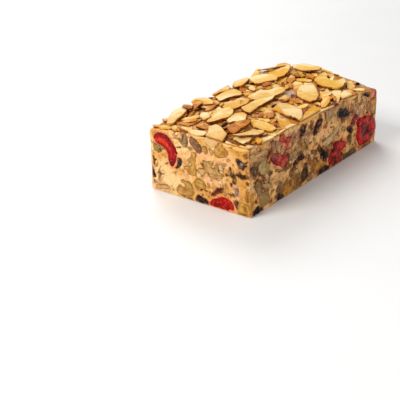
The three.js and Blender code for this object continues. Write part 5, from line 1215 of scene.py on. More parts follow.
MORE = [  # further slices, only here; the last number is 0 for under and 1 for over the ones above
    ([(47.2, 16.3), (42.5, 10.1), (37.8, 6.0), (38.0, 2.9), (41.4, 2.3), (46.3, 2.1), (49.3, 3.2), (50.7, 9.3), (51.8, 13.4), (55.7, 19.5), (51.1, 19.6)], 1.4, "g", 0.7, 200, 0.4, 0),
    ([(50.2, 11.5), (49.2, 9.1), (50.2, 5.6), (49.0, 0.7), (51.2, 0.0), (57.8, 3.5), (61.5, 6.7), (59.8, 9.4), (56.9, 12.6), (53.0, 15.1)], 1.5, "w", 0.1, 240, 0.2, 1),
    ([(25.4, 65.8), (24.5, 61.7), (26.5, 61.1), (33.1, 66.8), (35.5, 70.4), (35.4, 74.2), (32.0, 73.7), (25.9, 68.8)], 1.2, "s", 0.2, 240, 0.9, 1),
    ([(26.3, 59.9), (29.1, 60.9), (32.5, 61.2), (36.2, 61.5), (39.1, 64.5), (39.3, 68.7), (36.2, 69.2)], 1.2, "s", 0.2, 240, 0.9, 1),
    ([(40.3, 48.9), (37.4, 43.5), (41.1, 42.0), (50.2, 46.3), (53.8, 51.0), (53.8, 55.5), (45.6, 53.7)], 1.2, "k", 0.3, 240, 0.3, 0),
    ([(50.5, 44.7), (53.0, 42.1), (59.2, 42.6), (62.2, 47.0), (60.9, 50.6), (54.3, 49.1)], 1.4, "a", 0.6, 240, 0.3, 0),
    ([(19.4, 47.4), (20.2, 43.5), (23.4, 44.7), (26.7, 49.4), (26.6, 53.8), (22.8, 53.0)], 2.0, "w", 0.4, 240, 0.3, 1),
    ([(26.8, 48.8), (25.2, 45.8), (29.4, 44.6), (36.5, 47.2), (41.6, 49.8), (42.9, 53.5), (37.4, 53.6), (30.9, 54.0)], 1.3, "c", 0.4, 240, 0.4, 0),
    ([(34.1, 59.3), (34.7, 55.9), (37.4, 53.0), (40.6, 54.4), (41.5, 58.8), (39.3, 62.3), (34.7, 61.8)], 1.2, "c", 0.3, 240, 0.6, 0),
    ([(12.1, 50.2), (17.6, 49.7), (22.4, 49.6), (23.1, 52.9), (18.7, 54.4), (11.4, 53.1)], 1.2, "t", 0.4, 240, 0.9, 0),
    ([(21.5, 55.4), (25.1, 55.9), (30.5, 58.6), (28.4, 60.5), (21.7, 58.5)], 1.2, "t", 0.5, 240, 0.6, 0),
    ([(5.8, 44.9), (-0.2, 40.8), (2.7, 38.7), (6.9, 37.6), (13.5, 43.1), (14.5, 47.1), (11.6, 49.4)], 2.2, "s", 0.2, 240, 1.0, 0),
    ([(4.1, 51.6), (3.4, 47.2), (1.8, 42.5), (6.9, 45.1), (12.7, 50.3), (9.3, 53.5), (5.9, 55.0)], 1.4, "c", 0.3, 240, 0.4, 0),
    ([(-0.5, 60.9), (2.3, 56.4), (6.3, 53.8), (7.5, 57.1), (4.6, 62.9), (-0.7, 65.3)], 1.2, "y", 0.4, 240, 0.5, 0),
    ([(7.0, 12.1), (11.8, 8.9), (16.5, 5.6), (22.0, 5.4), (24.5, 7.7), (23.7, 10.7), (17.3, 12.9), (10.1, 14.4), (5.7, 16.0)], 1.3, "k", 0.2, 240, 1.0, 1),
    ([(1.0, 16.1), (-0.2, 11.2), (0.7, 7.5), (1.6, 3.9), (5.9, 14.1), (7.1, 19.7), (2.4, 19.0)], 0.9, "s", 0.2, 240, 1.0, 0),
    ([(-4.5, 13.9), (-5.3, 10.2), (-2.7, 8.8), (0.4, 7.9), (0.4, 11.7), (1.7, 16.1), (-1.8, 16.9)], 1.2, "c", 0.3, 240, 0.3, 0),
    ([(-5.8, 5.3), (-5.8, 1.5), (-2.0, -1.4), (1.5, 2.0), (1.7, 7.1), (-3.4, 8.8)], 1.3, "y", 0.5, 240, 0.3, 0),
    ([(-2.5, -1.7), (0.7, -3.2), (4.9, -0.2), (3.9, 2.5), (-0.5, 2.1)], 1.5, "w", 0.1, 240, 0.1, 0),
    ([(11.5, -0.4), (8.6, -3.8), (13.2, -4.4), (19.2, -3.5), (24.4, 0.5), (23.2, 4.2), (18.7, 5.9), (13.6, 4.8)], 1.5, "c", 0.4, 200, 0.6, 0),
    ([(8.2, 0.5), (10.1, -2.4), (13.0, 0.7), (16.2, 6.0), (14.2, 6.4)], 1.4, "s", 0.5, 200, 0.8, 0),
    ([(23.0, -1.6), (24.4, -2.2), (30.0, -2.1), (34.2, -1.1), (35.2, 0.9), (30.3, 1.4), (25.6, 1.2)], 1.3, "c", 0.3, 240, 0.2, 0),
    ([(34.9, -0.4), (34.4, -2.4), (38.0, -2.5), (40.7, -3.1), (45.0, -2.0), (45.2, 1.4), (43.2, 2.7), (37.4, 2.1)], 1.3, "w", 0.2, 240, 0.2, 0),
    ([(30.3, -5.7), (36.2, -3.2), (39.3, -1.2), (36.8, -1.4), (31.2, -4.4)], 0.9, "w", 0.1, 240, 0.0, 0),
    ([(41.5, 20.5), (42.4, 17.2), (45.8, 15.7), (50.6, 18.5), (53.2, 22.6), (51.2, 25.6), (45.5, 24.6)], 1.3, "t", 0.4, 240, 0.4, 0),
    ([(83.6, 51.1), (82.5, 47.8), (87.4, 46.6), (92.1, 48.6), (92.1, 53.9), (88.0, 54.1)], 1.0, "s", 0.2, 240, 0.9, 1),
    ([(81.2, 53.4), (82.2, 50.1), (86.2, 48.5), (89.8, 46.4), (95.6, 48.4), (96.4, 52.4), (90.9, 56.3), (83.2, 55.2)], 1.3, "c", 0.4, 240, 0.5, 0),
    ([(77.2, 55.4), (76.6, 51.5), (81.8, 54.6), (85.8, 60.7), (80.9, 59.8)], 1.5, "w", 0.1, 240, 0.2, 1),
    ([(71.8, 55.7), (75.4, 53.8), (78.0, 54.8), (79.4, 59.9), (72.5, 58.5)], 1.1, "c", 0.3, 240, 0.4, 0),
    ([(97.6, 47.3), (103.1, 46.0), (110.7, 49.1), (105.0, 50.4), (99.8, 51.5)], 1.2, "g", 0.5, 240, 0.8, 0),
    ([(88.8, 39.4), (90.3, 37.3), (94.9, 37.5), (100.6, 41.4), (89.8, 41.4)], 1.2, "g", 0.4, 240, 0.4, 0),
    ([(41.2, 49.5), (41.4, 42.1), (51.9, 39.4), (57.4, 41.2), (58.8, 48.3), (53.2, 51.8), (45.8, 54.6)], 1.3, "g", 0.5, 240, 0.3, 0),
    ([(74.9, 26.3), (79.5, 26.6), (83.1, 33.1), (72.3, 30.8)], 1.3, "p", 0.3, 240, 0.7, 0),
    ([(104.2, 32.4), (96.9, 26.6), (97.8, 23.5), (103.7, 23.6), (112.2, 30.4), (115.4, 36.5), (109.9, 36.4)], 2.6, "c", 0.6, 240, 0.1, 0),
    ([(93.4, 33.6), (98.0, 32.9), (99.4, 30.5), (103.4, 31.8), (109.0, 37.3), (107.0, 41.3), (100.4, 39.6)], 2.2, "y", 0.5, 240, 0.1, 0),
    ([(91.5, 31.1), (90.3, 26.5), (97.8, 28.1), (101.6, 32.0), (101.7, 35.3), (96.6, 36.0)], 2.0, "a", 0.7, 240, 0.1, 0),
    ([(100.6, 40.1), (108.8, 42.1), (115.3, 46.5), (115.7, 50.2), (103.6, 45.8)], 1.3, "t", 0.5, 240, 0.4, 0),
    ([(114.5, 30.8), (114.6, 27.1), (123.2, 27.8), (132.9, 31.7), (137.1, 36.9), (128.4, 36.3), (117.6, 33.6)], 1.4, "g", 0.4, 240, 0.4, 0),
    ([(113.2, 42.6), (117.5, 41.3), (123.4, 47.2), (123.0, 51.7), (114.3, 48.9)], 1.3, "t", 0.2, 240, 0.5, 0),
    ([(112.6, 39.7), (118.9, 40.3), (124.1, 47.3), (116.8, 46.0)], 1.2, "g", 0.6, 240, 0.4, 0),
    ([(127.6, 26.4), (126.7, 20.6), (132.2, 19.3), (135.8, 22.1), (139.2, 30.5), (134.4, 34.3)], 1.3, "a", 0.6, 240, 0.4, 0),
    ([(121.3, 23.5), (121.8, 21.2), (130.2, 25.7), (126.4, 25.6), (123.7, 26.4)], 1.0, "w", 0.1, 240, 0.1, 1),
    ([(123.1, 11.2), (123.0, 8.0), (129.5, 9.1), (138.6, 17.0), (134.7, 18.7)], 1.3, "k", 0.3, 240, 0.2, 0),
    ([(120.4, 5.4), (121.4, 1.6), (124.9, -0.1), (130.4, 2.4), (130.6, 6.3), (124.0, 8.3)], 1.3, "c", 0.4, 240, 0.5, 0),
    ([(109.1, 3.1), (110.7, -1.4), (116.0, 0.9), (120.4, 7.8), (115.4, 10.6)], 1.2, "t", 0.6, 240, 0.9, 0),
    ([(94.9, 4.3), (92.1, -0.4), (104.5, 5.2), (112.5, 9.7), (112.3, 14.0), (103.7, 12.9)], 1.6, "w", 0.2, 240, 0.1, 0),
    ([(97.1, -0.2), (96.6, -3.1), (105.0, -3.0), (109.6, 0.2), (112.8, 8.1), (103.4, 5.2)], 1.6, "w", 0.3, 240, 0.2, 0),
    ([(94.8, 13.6), (97.8, 11.8), (105.4, 13.8), (109.1, 17.4), (103.1, 20.2)], 1.4, "k", 0.1, 240, 0.5, 0),
    ([(84.6, 3.7), (88.4, 3.0), (95.9, 10.6), (87.9, 9.0)], 1.4, "p", 0.3, 240, 0.4, 0),
    ([(67.9, -0.7), (67.7, -3.2), (75.1, -3.2), (82.7, -3.9), (88.7, -1.4), (86.2, 1.2), (78.8, 1.3), (71.6, 2.4)], 1.3, "w", 0.2, 240, 0.3, 0),
    ([(96.8, -6.0), (103.7, -6.1), (106.5, -1.4), (97.8, -1.6)], 1.2, "y", 0.4, 240, 0.3, 0),
    ([(108.5, 66.1), (111.3, 62.5), (118.1, 61.2), (124.0, 59.5), (126.1, 63.0), (121.7, 68.5), (113.1, 69.3), (105.9, 71.2)], 0.9, "s", 0.1, 240, 1.0, 1),
    ([(106.0, 68.9), (102.4, 63.0), (106.9, 60.0), (115.5, 65.3), (110.6, 72.0)], 1.2, "t", 0.9, 240, 0.9, 0),
    ([(98.8, 66.0), (104.0, 59.9), (105.1, 64.7), (106.3, 69.1), (114.3, 74.1), (111.8, 76.0), (96.6, 70.8)], 1.2, "g", 0.6, 240, 0.4, 0),
    ([(51.0, 64.0), (55.2, 64.3), (60.5, 66.9), (57.7, 68.3), (52.1, 67.2)], 1.1, "t", 0.4, 240, 0.7, 0),
    ([(46.4, 39.4), (50.1, 37.8), (56.9, 40.3), (53.5, 42.1), (52.8, 45.4)], 1.1, "t", 0.5, 240, 0.8, 0),
    ([(122.1, 21.7), (125.0, 18.5), (132.9, 18.1), (133.7, 20.4), (128.3, 21.7), (129.5, 27.4)], 1.1, "y", 0.4, 240, 0.3, 0),
    ([(85.3, 5.0), (88.3, 3.5), (94.6, 9.0), (90.6, 10.9)], 1.2, "c", 0.4, 240, 0.5, 0),
    ([(95.8, 9.5), (92.6, 5.2), (97.1, 5.5), (103.7, 12.5), (100.9, 13.8)], 1.1, "t", 0.6, 240, 0.9, 0),
    ([(-9.8, 6.8), (-9.6, 1.4), (-5.6, -3.8), (-1.6, -0.3), (-4.3, 2.6), (-1.7, 9.6), (-3.1, 11.9)], 1.1, "y", 0.5, 240, 0.2, 0),
]


def chipped(poly, seed, gap=0.5, soften=0.8, nicks=0.22):
    """A slice's outline: nearly straight runs between slightly rounded corners, with small nicks."""
    p = np.asarray(poly, float)
    a, c = np.roll(p, 1, 0), np.roll(p, -1, 0)
    out = []
    for before, at, after in zip(a, p, c):
        d0, d1 = np.linalg.norm(before - at), np.linalg.norm(after - at)
        s, e = at + (before - at) * min(soften, 0.38 * d0) / max(d0, 1e-6), at + (after - at) * min(soften, 0.38 * d1) / max(d1, 1e-6)
        for t in (0.0, 0.34, 0.67, 1.0):
            out.append((1 - t) ** 2 * s + 2 * t * (1 - t) * at + t * t * e)
    return ragged(resample(np.array(out), gap), nicks, seed)


def slice_mesh(outline, plane, thick, seed, tone, gold, gold_at, wall, gap=1.0, curl=0.4):
    """A thin plate with a sharp rim: plane(x, y) is the height of its underside."""
    flat, depth, tris, rim = filled(outline, gap, (0.12, 0.42))
    n = len(flat)
    middle = outline.mean(0)
    way = long_way(outline)
    cross = np.array([-way[1], way[0]])
    s, c = (flat - middle) @ way, (flat - middle) @ cross
    half_long, half_wide = max(np.abs(s).max(), 0.5), max(np.abs(c).max(), 0.5)
    p3 = np.concatenate([flat, np.full((n, 1), seed * 1.7)], 1)
    lines = np.stack([s * 0.16, c, p3[:, 2]], 1)
    h, g = (seed * 29 % 97) / 97.0, (seed * 53 % 89) / 89.0
    bend = curl * ((h - 0.3) * (s / half_long) ** 2 + (g - 0.35) * (c / half_wide) ** 2 + 0.7 * (g - 0.5) * s * c / half_long / half_wide)
    under = plane(flat[:, 0], flat[:, 1]) + bend + 0.3 * (fbm(p3, 6, seed, 2) - 0.5)
    edge = 0.09 * (1 - step(0.0, 0.12, depth))
    groove = 0.07 * (fbm(lines, 0.9, seed + 12, 2) - 0.5) * step(0.1, 0.5, depth)
    top = under + thick - edge + groove + 0.16 * (fbm(p3, 2.2, seed + 1, 2) - 0.5) * step(0.0, 0.4, depth)
    # the rim drops straight for a while, then turns in under the slice
    r = len(rim)
    tuck = np.minimum(0.9, 0.42 * np.array([half_long, half_wide]))
    inner = middle + s[:, None] * way * (1 - tuck[0] / half_long) + c[:, None] * cross * (1 - tuck[1] / half_wide)
    low = plane(inner[:, 0], inner[:, 1]) + bend
    drop = thick * (0.42 + 0.3 * fbm(p3[rim], 3.0, seed + 19, 2))
    verts = np.concatenate([np.column_stack([flat, top]), np.column_stack([inner, low]), np.column_stack([flat[rim], top[rim] - drop])])
    faces = [tuple(f) for f in tris] + [(f[0] + n, f[2] + n, f[1] + n) for f in tris]
    for i in range(r):
        j = (i + 1) % r
        faces += [(2 * n + i, 2 * n + j, rim[j], rim[i]), (rim[i] + n, rim[j] + n, 2 * n + j, 2 * n + i)]

    # colours: the cut face of the nut, browner where it was toasted, golden to one side partly as painted shade, the
    # skin left on its rim, and the underside darkened as painted shade
    base = ALMOND_TONES[tone]
    cloud = fbm(p3, 4.4, seed + 3, 3)
    fleck = fbm(p3, 1.1, seed + 13, 2)
    fibre = fbm(lines, 1.0, seed + 11, 3)
    paint = np.broadcast_to(base, (n, 3)).copy()
    lean = (flat - middle) @ np.array([math.cos(math.radians(gold_at)), math.sin(math.radians(gold_at))]) / half_long
    if tone == "s":
        paint = lerp(paint, np.array([0.66, 0.28, 0.012]), 0.8 * step(0.46, 0.64, cloud))
        paint = lerp(paint, SKIN_BROWN, 0.5 * step(0.48, 0.66, fibre))
        paint = lerp(paint, ALMOND_TONES["g"], 0.7 * step(0.62, 0.70, cloud + 0.12 * (fleck - 0.5)))
    else:
        gold = min(1.0, 1.15 * gold)
        # painted light and shade in part: golden towards one side and ivory on the other, besides toasting
        toast_and_shade_side = gold * np.clip(0.6 * (1 - step(0.2, 1.8, depth)) * step(-0.6, 0.5, lean) + 1.1 * step(-0.25, 0.5, lean + 1.8 * (cloud - 0.5)), 0, 1)
        paint = lerp(paint, np.minimum(base, ALMOND_TONES["g"]) if tone in "tak" else ALMOND_TONES["g"], toast_and_shade_side)
        paint = lerp(paint, ALMOND_TONES["a"], 0.8 * gold * step(0.35, 0.85, lean + 1.8 * (cloud - 0.5)) * step(3.0, 0.2, depth))
        paint = lerp(paint, IVORY, (0.9 if tone in "wc" else 0.55) * step(0.1, -0.55, lean + 1.6 * (cloud - 0.5)) * step(0.1, 0.8, depth))
        paint = lerp(paint, paint * (0.92, 0.82, 0.66), 0.3 * step(0.52, 0.66, fibre))
        paint = lerp(paint, np.minimum(paint * (1.06, 1.1, 1.25), 0.96), 0.35 * step(0.46, 0.36, fibre))
        paint = lerp(paint, paint * (0.96, 0.84, 0.62), 0.5 * (1 - step(0.1, 0.6, depth)))
    # skin round the rim, more of it on some stretches and on those that face the front, where it also paints their
    # shade
    out = flat - middle
    out = out / np.maximum(np.linalg.norm(out, axis=1), 1e-6)[:, None]
    front_facing_shade = out @ np.array([-0.62, -0.78])
    keep = fbm(np.column_stack([out * 2.0, np.full(n, float(seed))]), 1.1, seed + 5, 2) + 0.10 * front_facing_shade
    skinned = step(0.68 - 0.36 * wall, 0.73 - 0.36 * wall, keep)
    tint = lerp(np.broadcast_to(SKIN_RED, (n, 3)), SKIN_BROWN, step(0.42, 0.62, fbm(p3, 2.2, seed + 17, 2)))
    bare = lerp(paint[rim], paint[rim] * (0.94, 0.80, 0.56), 0.3 + 0.5 * cloud[rim])
    upper = lerp(paint, tint, 0.92 * skinned * (1 - step(0.05, 0.16, depth)))
    wall_tone = lerp(bare, tint[rim], 0.2 + 0.75 * skinned[rim])
    # painted shade: the tucked-in underside is darkened, mixed with the rim's skin colour
    underside_skin_and_shade = lerp(paint * (0.60, 0.26, 0.08), tint, 0.55 + 0.35 * skinned)
    shade = lerp(np.array([0.95, 0.91, 0.88]), np.array([1.04, 1.02, 0.98]), float(smooth((middle[0] - 75) / 30)))
    return verts, faces, np.clip(np.concatenate([upper, underside_skin_and_shade, wall_tone]) * shade, 0.004, 0.96)


def plane_through(node):
    """The plane of a CAD slice's underside, from its mesh: corner-frame mm."""
    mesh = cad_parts[node].data
    co = np.zeros(len(mesh.vertices) * 3)
    mesh.vertices.foreach_get("co", co)
    p = (co.reshape(-1, 3) - CORNER) * 1000
    upper = np.zeros(len(p), bool)
    for _ in range(12):
        a = np.column_stack([np.ones(len(p)), p[:, 0], p[:, 1], upper.astype(float)])
        fit = np.linalg.lstsq(a, p[:, 2], rcond=None)[0]
        rest = p[:, 2] - a[:, :3] @ fit[:3]
        upper = rest > (rest.max() + rest.min()) / 2
    rest = p[:, 2] - fit[1] * p[:, 0] - fit[2] * p[:, 1]
    bottom = rest.min()
    return lambda x, y: bottom + fit[1] * x + fit[2] * y


# On a grid over the loaf: heights of what is already laid, the lowest underside of the CAD's slices, and
# what no almond covers yet.
STEP = 0.5
GX, GY = np.meshgrid(np.arange(0, LENGTH + STEP, STEP), np.arange(0, WIDTH + STEP, STEP), indexing="ij")
LAID = top_height(GX, GY) - top_sink(GX, GY)
ROOF = np.full(GX.shape, 99.0)
BARE = np.ones(GX.shape, bool)


def under_outline(outline, margin=0.0):
    """The grid's points inside an outline."""
    low, high = outline.min(0), outline.max(0)
    box = (GX >= low[0]) & (GX <= high[0]) & (GY >= low[1]) & (GY <= high[1])
    at = np.nonzero(box)
    if len(at[0]) == 0:
        return at
    inside = signed_distance(outline, np.stack([GX[at], GY[at]], 1)) < margin
    return at[0][inside], at[1][inside]


def rest_plane(outline, thick, sink=0.25, steep=0.45, lean=None, roofed=False):
    """The plane on which a flat thing with this outline comes to rest, a little sunk in; it then counts as laid."""
    at = under_outline(outline, 0.2)
    if len(at[0]) < 3:
        return None
    q, z = np.stack([GX[at], GY[at]], 1), LAID[at]
    c = q.mean(0)
    a = np.column_stack([np.ones(len(q)), q - c])
    fit = np.linalg.lstsq(a, z, rcond=None)[0]
    if lean is not None:
        fit[1:] += lean
    fit[1:] = np.clip(fit[1:], -steep, steep)
    rest = z - (q - c) @ fit[1:]
    base = np.quantile(rest, 0.93) - sink
    if roofed:  # stays below the CAD's slices
        base -= np.clip((base + (q - c) @ fit[1:] + thick - ROOF[at]).max(), 0, 3.0)
    LAID[at] = np.maximum(z, base + (q - c) @ fit[1:] + thick)
    return lambda x, y: base + (x - c[0]) * fit[1] + (y - c[1]) * fit[2]


def cut_off(name):
    """Trims a built piece at the two knife cuts, and closes it."""
    obj = bpy.data.objects[name]
    bm = bmesh.new()
    bm.from_mesh(obj.data)
    for co, no in (((0.05, 0, 0), (-1, 0, 0)), ((0, -0.1, 0), (0, -1, 0))):
        point = Vector(np.array(co) / 1000.0 + CORNER)
        if not any((vert.co - point).dot(Vector(no)) > 1e-7 for vert in bm.verts):
            continue
        cut = bmesh.ops.bisect_plane(bm, geom=bm.verts[:] + bm.edges[:] + bm.faces[:], dist=1e-7, plane_co=point, plane_no=Vector(no), clear_outer=True)
        edges = [e for e in cut["geom_cut"] if isinstance(e, bmesh.types.BMEdge)]
        made = bmesh.ops.holes_fill(bm, edges=edges, sides=0)
        for f in made["faces"]:
            for e in f.edges:
                e.smooth = False
    bm.to_mesh(obj.data)
    bm.free()
    obj.data.update()


def crisp(name, angle=48):
    bpy.data.objects[name].data.set_sharp_from_angle(angle=math.radians(angle))


def shard(x, y, length, width, turn):
    """A broken piece's corners: a narrow oval cut off at a few places, turned."""
    count = int(rng.integers(5, 8))
    t = np.sort((np.arange(count) + rng.uniform(-0.3, 0.3, count)) * 2 * math.pi / count)
    r = rng.uniform(0.82, 1.12, count)
    p = np.stack([np.cos(t) * r * length / 2, np.sin(t) * r * width / 2], 1)
    return turned(p, turn, x, y)


def best_spot(tries, low, length):
    """Where, of a few random places, most of the batter is still bare."""
    best, spot = -1, None
    for _ in range(tries):
        x, y = rng.uniform(low, LENGTH - 2.5), rng.uniform(low, WIDTH - 2.0)
        i, j = int(np.clip(x / STEP, 0, GX.shape[0] - 1)), int(np.clip(y / STEP, 0, GX.shape[1] - 1))
        k = int(length / 2 / STEP)
        free = BARE[max(0, i - k):i + k + 1, max(0, j - k):j + k + 1].mean() - 0.25 * (height_at(x, y) - top_height(x, y))
        if free > best:
            best, spot = free, (x, y)
    return spot


SKIN_AND_SHADE_SPOTS = np.array([  # where dark skins show between the slices, and where their gaps lie in shade: painted shade in part
    (6.5, 44.8), (1.0, 11.3), (15.7, 11.8), (48.9, 26.0), (93.8, 56.9), (14.7, 39.6), (61.1, 28.2), (21.6, 48.8),
    (42.2, 8.1), (81.0, 62.6), (63.2, 11.6), (58.1, 40.3), (43.6, 25.4), (104.3, 47.1), (93.8, 35.5), (75.0, 9.4),
    (105.3, 16.6), (63.9, 6.5), (9.8, 2.5), (39.4, 35.4), (14.4, 27.3),
])


def make_almonds():
    under, over = Batch(), Batch()

    def lay(batch, outline, thick, seed, tone, gold, gold_at, wall, sink=0.25, lean=None, gap=1.0, curl=0.4, roofed=False, steep=0.45):
        plane = rest_plane(outline, thick, sink, steep, lean, roofed)
        if plane is None:
            return
        batch.add(*slice_mesh(outline, plane, thick, seed, tone, gold, gold_at, wall, gap, curl))
        BARE[under_outline(outline)] = False

    # the CAD's slices, where the CAD has them
    drop = 0.80
    shapes = []
    for k, (poly, thick, tone, gold, gold_at, wall) in enumerate(SLICES):
        outline = chipped(poly, 40 + k, 0.42)
        plane = plane_through(f"almond_{k + 1:02d}")
        lowered = lambda x, y, plane=plane: plane(x, y) - drop
        shapes.append((outline, lowered, thick + 0.05 if k < 20 else 1.4))
        at = under_outline(outline)
        ROOF[at] = np.minimum(ROOF[at], lowered(GX[at], GY[at]) + 0.1)
        BARE[at] = False
    for k, (poly, thick, tone, gold, gold_at, wall, order) in enumerate(MORE):
        outline = chipped(poly, 500 + k, 0.45)
        if order == 0:
            lay(under, outline, thick * 0.9, 500 + k, tone, gold, gold_at, wall, roofed=True)
        else:
            BARE[under_outline(outline)] = False
    # smaller slices and broken bits that fill the gaps, fewest where the glaze lies thick
    for u, v, a, b, turn, _ in GLAZED:
        q = turned(np.stack([GX.ravel() - u, GY.ravel() - v], 1), -turn)
        BARE[((q[:, 0] / a) ** 2 + (q[:, 1] / b) ** 2 < 0.8).reshape(GX.shape)] = False
    BARE[(GX > 118) & (GY < 26)] = False
    for k in range(150):
        large = k < 88
        length = rng.uniform(8.5, 16.0) if large else rng.uniform(3.0, 7.0)
        width = length * (rng.uniform(0.30, 0.48) if large else rng.uniform(0.3, 0.7))
        x, y = best_spot(14 if large else 9, -0.5, width)
        outline = chipped(shard(x, y, length, width, rng.uniform(0, 180)), 900 + k, 0.5 if large else 0.4, 0.35, 0.16)
        reach = outline.max(0) - (LENGTH - 1.2, WIDTH - 0.8)
        outline = outline - np.clip(reach, 0, None) - np.clip(outline.min(0) + 4.0, None, 0)
        kinds = ("cgytyaacsyat" if large else "wsyagactatsg") if x < 95 else "cwycgyawcycg"  # paler towards the far end
        tone = kinds[int(rng.integers(12))]
        # painted shade in part: slices there take skin-brown tones
        if np.hypot(*(SKIN_AND_SHADE_SPOTS - (x, y)).T).min() < 5.0:
            tone = "sts"[k % 3]
        lay(under, outline, rng.uniform(0.8, 1.2) if large else rng.uniform(0.7, 1.5), 900 + k, tone, rng.uniform(0.2, 0.8), rng.uniform(0, 360),
            rng.uniform(0.1, 1.1), sink=0.35, lean=rng.normal(0, 0.10 if large else 0.16, 2), gap=1.1 if large else 0.9, curl=0.25, roofed=True)
    settle = {1: 0.60, 5: 0.85, 20: 0.82}  # these would hang clear of what lies under them
    for k, (outline, flat, thick) in enumerate(shapes):
        plane = lambda x, y, flat=flat, more=settle.get(k, 0.0): flat(x, y) - more
        _, _, tone, gold, gold_at, wall = SLICES[k]
        batch = Batch()
        batch.add(*slice_mesh(outline, plane, thick, 40 + k, tone, gold, gold_at, wall, 0.75, 0.45))
        name = f"almond_{k + 1:02d}_look"
        build(name, batch, ALMOND, "almond", [name[:-5]])
        cut_off(name)
        crisp(name)
        at = under_outline(outline)
        LAID[at] = np.maximum(LAID[at], plane(GX[at], GY[at]) + thick)
    for k, (poly, thick, tone, gold, gold_at, wall, order) in enumerate(MORE):
        if order == 1:
            lay(over, chipped(poly, 500 + k, 0.45), thick * 0.85, 500 + k, tone, gold, gold_at, wall, sink=0.3, steep=0.22)
    for name, batch in (("almond_slices_under", under), ("almond_slices_over", over)):
        build(name, batch, ALMOND, "almond")
        cut_off(name)
        crisp(name)


# ------------------------------------------------------------------ skins, raisins and chunks on top


def flake_mesh(x, y, length, width, turn, plane, seed, colour, roll=0.8, thick=0.28):
    """A curled flake of nut skin."""
    nu, nv = 15, 9
    s, t = np.meshgrid(np.linspace(-1, 1, nu), np.linspace(-1, 1, nv), indexing="ij")
    half = width / 2 * np.sqrt(np.clip(1 - (np.abs(s) ** 2.2), 0.02, 1))
    rag = 1 + 0.25 * (noise(np.stack([s.ravel() * 3, t.ravel(), 0 * s.ravel() + seed], 1), 0.8, seed).reshape(s.shape) - 0.5)
    px, py = s * length / 2, t * half * rag
    up = roll * (py / (width / 2)) ** 2 * width * 0.35 + 0.25 * length * 0.12 * s * s
    up = up + 0.35 * (noise(np.stack([px.ravel(), py.ravel(), 0 * px.ravel() + seed], 1), 2.2, seed).reshape(s.shape) - 0.5)
    flat = np.stack([px.ravel(), py.ravel()], 1)
    world = turned(flat, turn, x, y)
    z = plane(world[:, 0], world[:, 1]) + up.ravel()
    count = nu * nv
    verts = np.concatenate([np.column_stack([world, z + thick]), np.column_stack([world, z])])
    faces = []
    at = np.arange(count).reshape(nu, nv)
    for i in range(nu - 1):
        for j in range(nv - 1):
            a, b, c, d = at[i, j], at[i + 1, j], at[i + 1, j + 1], at[i, j + 1]
            faces.append((a, b, c, d))
            faces.append((d + count, c + count, b + count, a + count))
    rim = [(i, 0) for i in range(nu)] + [(nu - 1, j) for j in range(1, nv)] + [(i, nv - 1) for i in range(nu - 2, -1, -1)] + [(0, j) for j in range(nv - 2, 0, -1)]
    ids = [int(at[i, j]) for i, j in rim]
    for a, b in zip(ids, ids[1:] + ids[:1]):
        faces.append((a, a + count, b + count, b))
    p3 = np.concatenate([flat, np.full((count, 1), float(seed))], 1)
    paint = lerp(np.broadcast_to(np.asarray(colour), (count, 3)), np.asarray(colour) * 0.4, step(0.4, 0.65, fbm(p3, 1.8, seed, 3))[:, None])
    return verts, faces, np.concatenate([paint, paint * 0.8])


def berry_mesh(x, y, z, a, b, c, turn, seed, colour):
    """A wrinkled raisin: a lump of half sizes a, b, c."""
    rings, n = 14, 22
    v, f = [], []
    th = np.linspace(0, math.pi, rings + 2)[1:-1]
    ph = np.arange(n) * 2 * math.pi / n
    d = np.stack([np.outer(np.sin(th), np.cos(ph)).ravel(), np.outer(np.sin(th), np.sin(ph)).ravel(), np.repeat(np.cos(th), n)], 1)
    d = np.concatenate([d, [[0, 0, 1], [0, 0, -1]]])
    q = d * (a, b, c)
    fold = ridged(q * (0.5, 1, 1), 1.7, seed, 2)
    r = 1 - 0.26 * fold + 0.18 * (fbm(q, 2.4, seed + 1, 2) - 0.5)
    q = q * r[:, None]
    flat = turned(q[:, :2], turn, x, y)
    verts = np.column_stack([flat, q[:, 2] + z])
    faces = []
    for k in range(rings - 1):
        for i in range(n):
            j = (i + 1) % n
            faces.append((k * n + i, (k + 1) * n + i, (k + 1) * n + j, k * n + j))
    top, low = rings * n, rings * n + 1
    faces += [(top, i, (i + 1) % n) for i in range(n)]
    faces += [(low, (rings - 1) * n + (i + 1) % n, (rings - 1) * n + i) for i in range(n)]
    # painted shade: darker in the folds, where the lump is pressed in
    paint = lerp(np.broadcast_to(np.asarray(colour), verts.shape), np.asarray(colour) * 0.35, step(0.35, 0.7, fold)[:, None])
    return verts, faces, paint


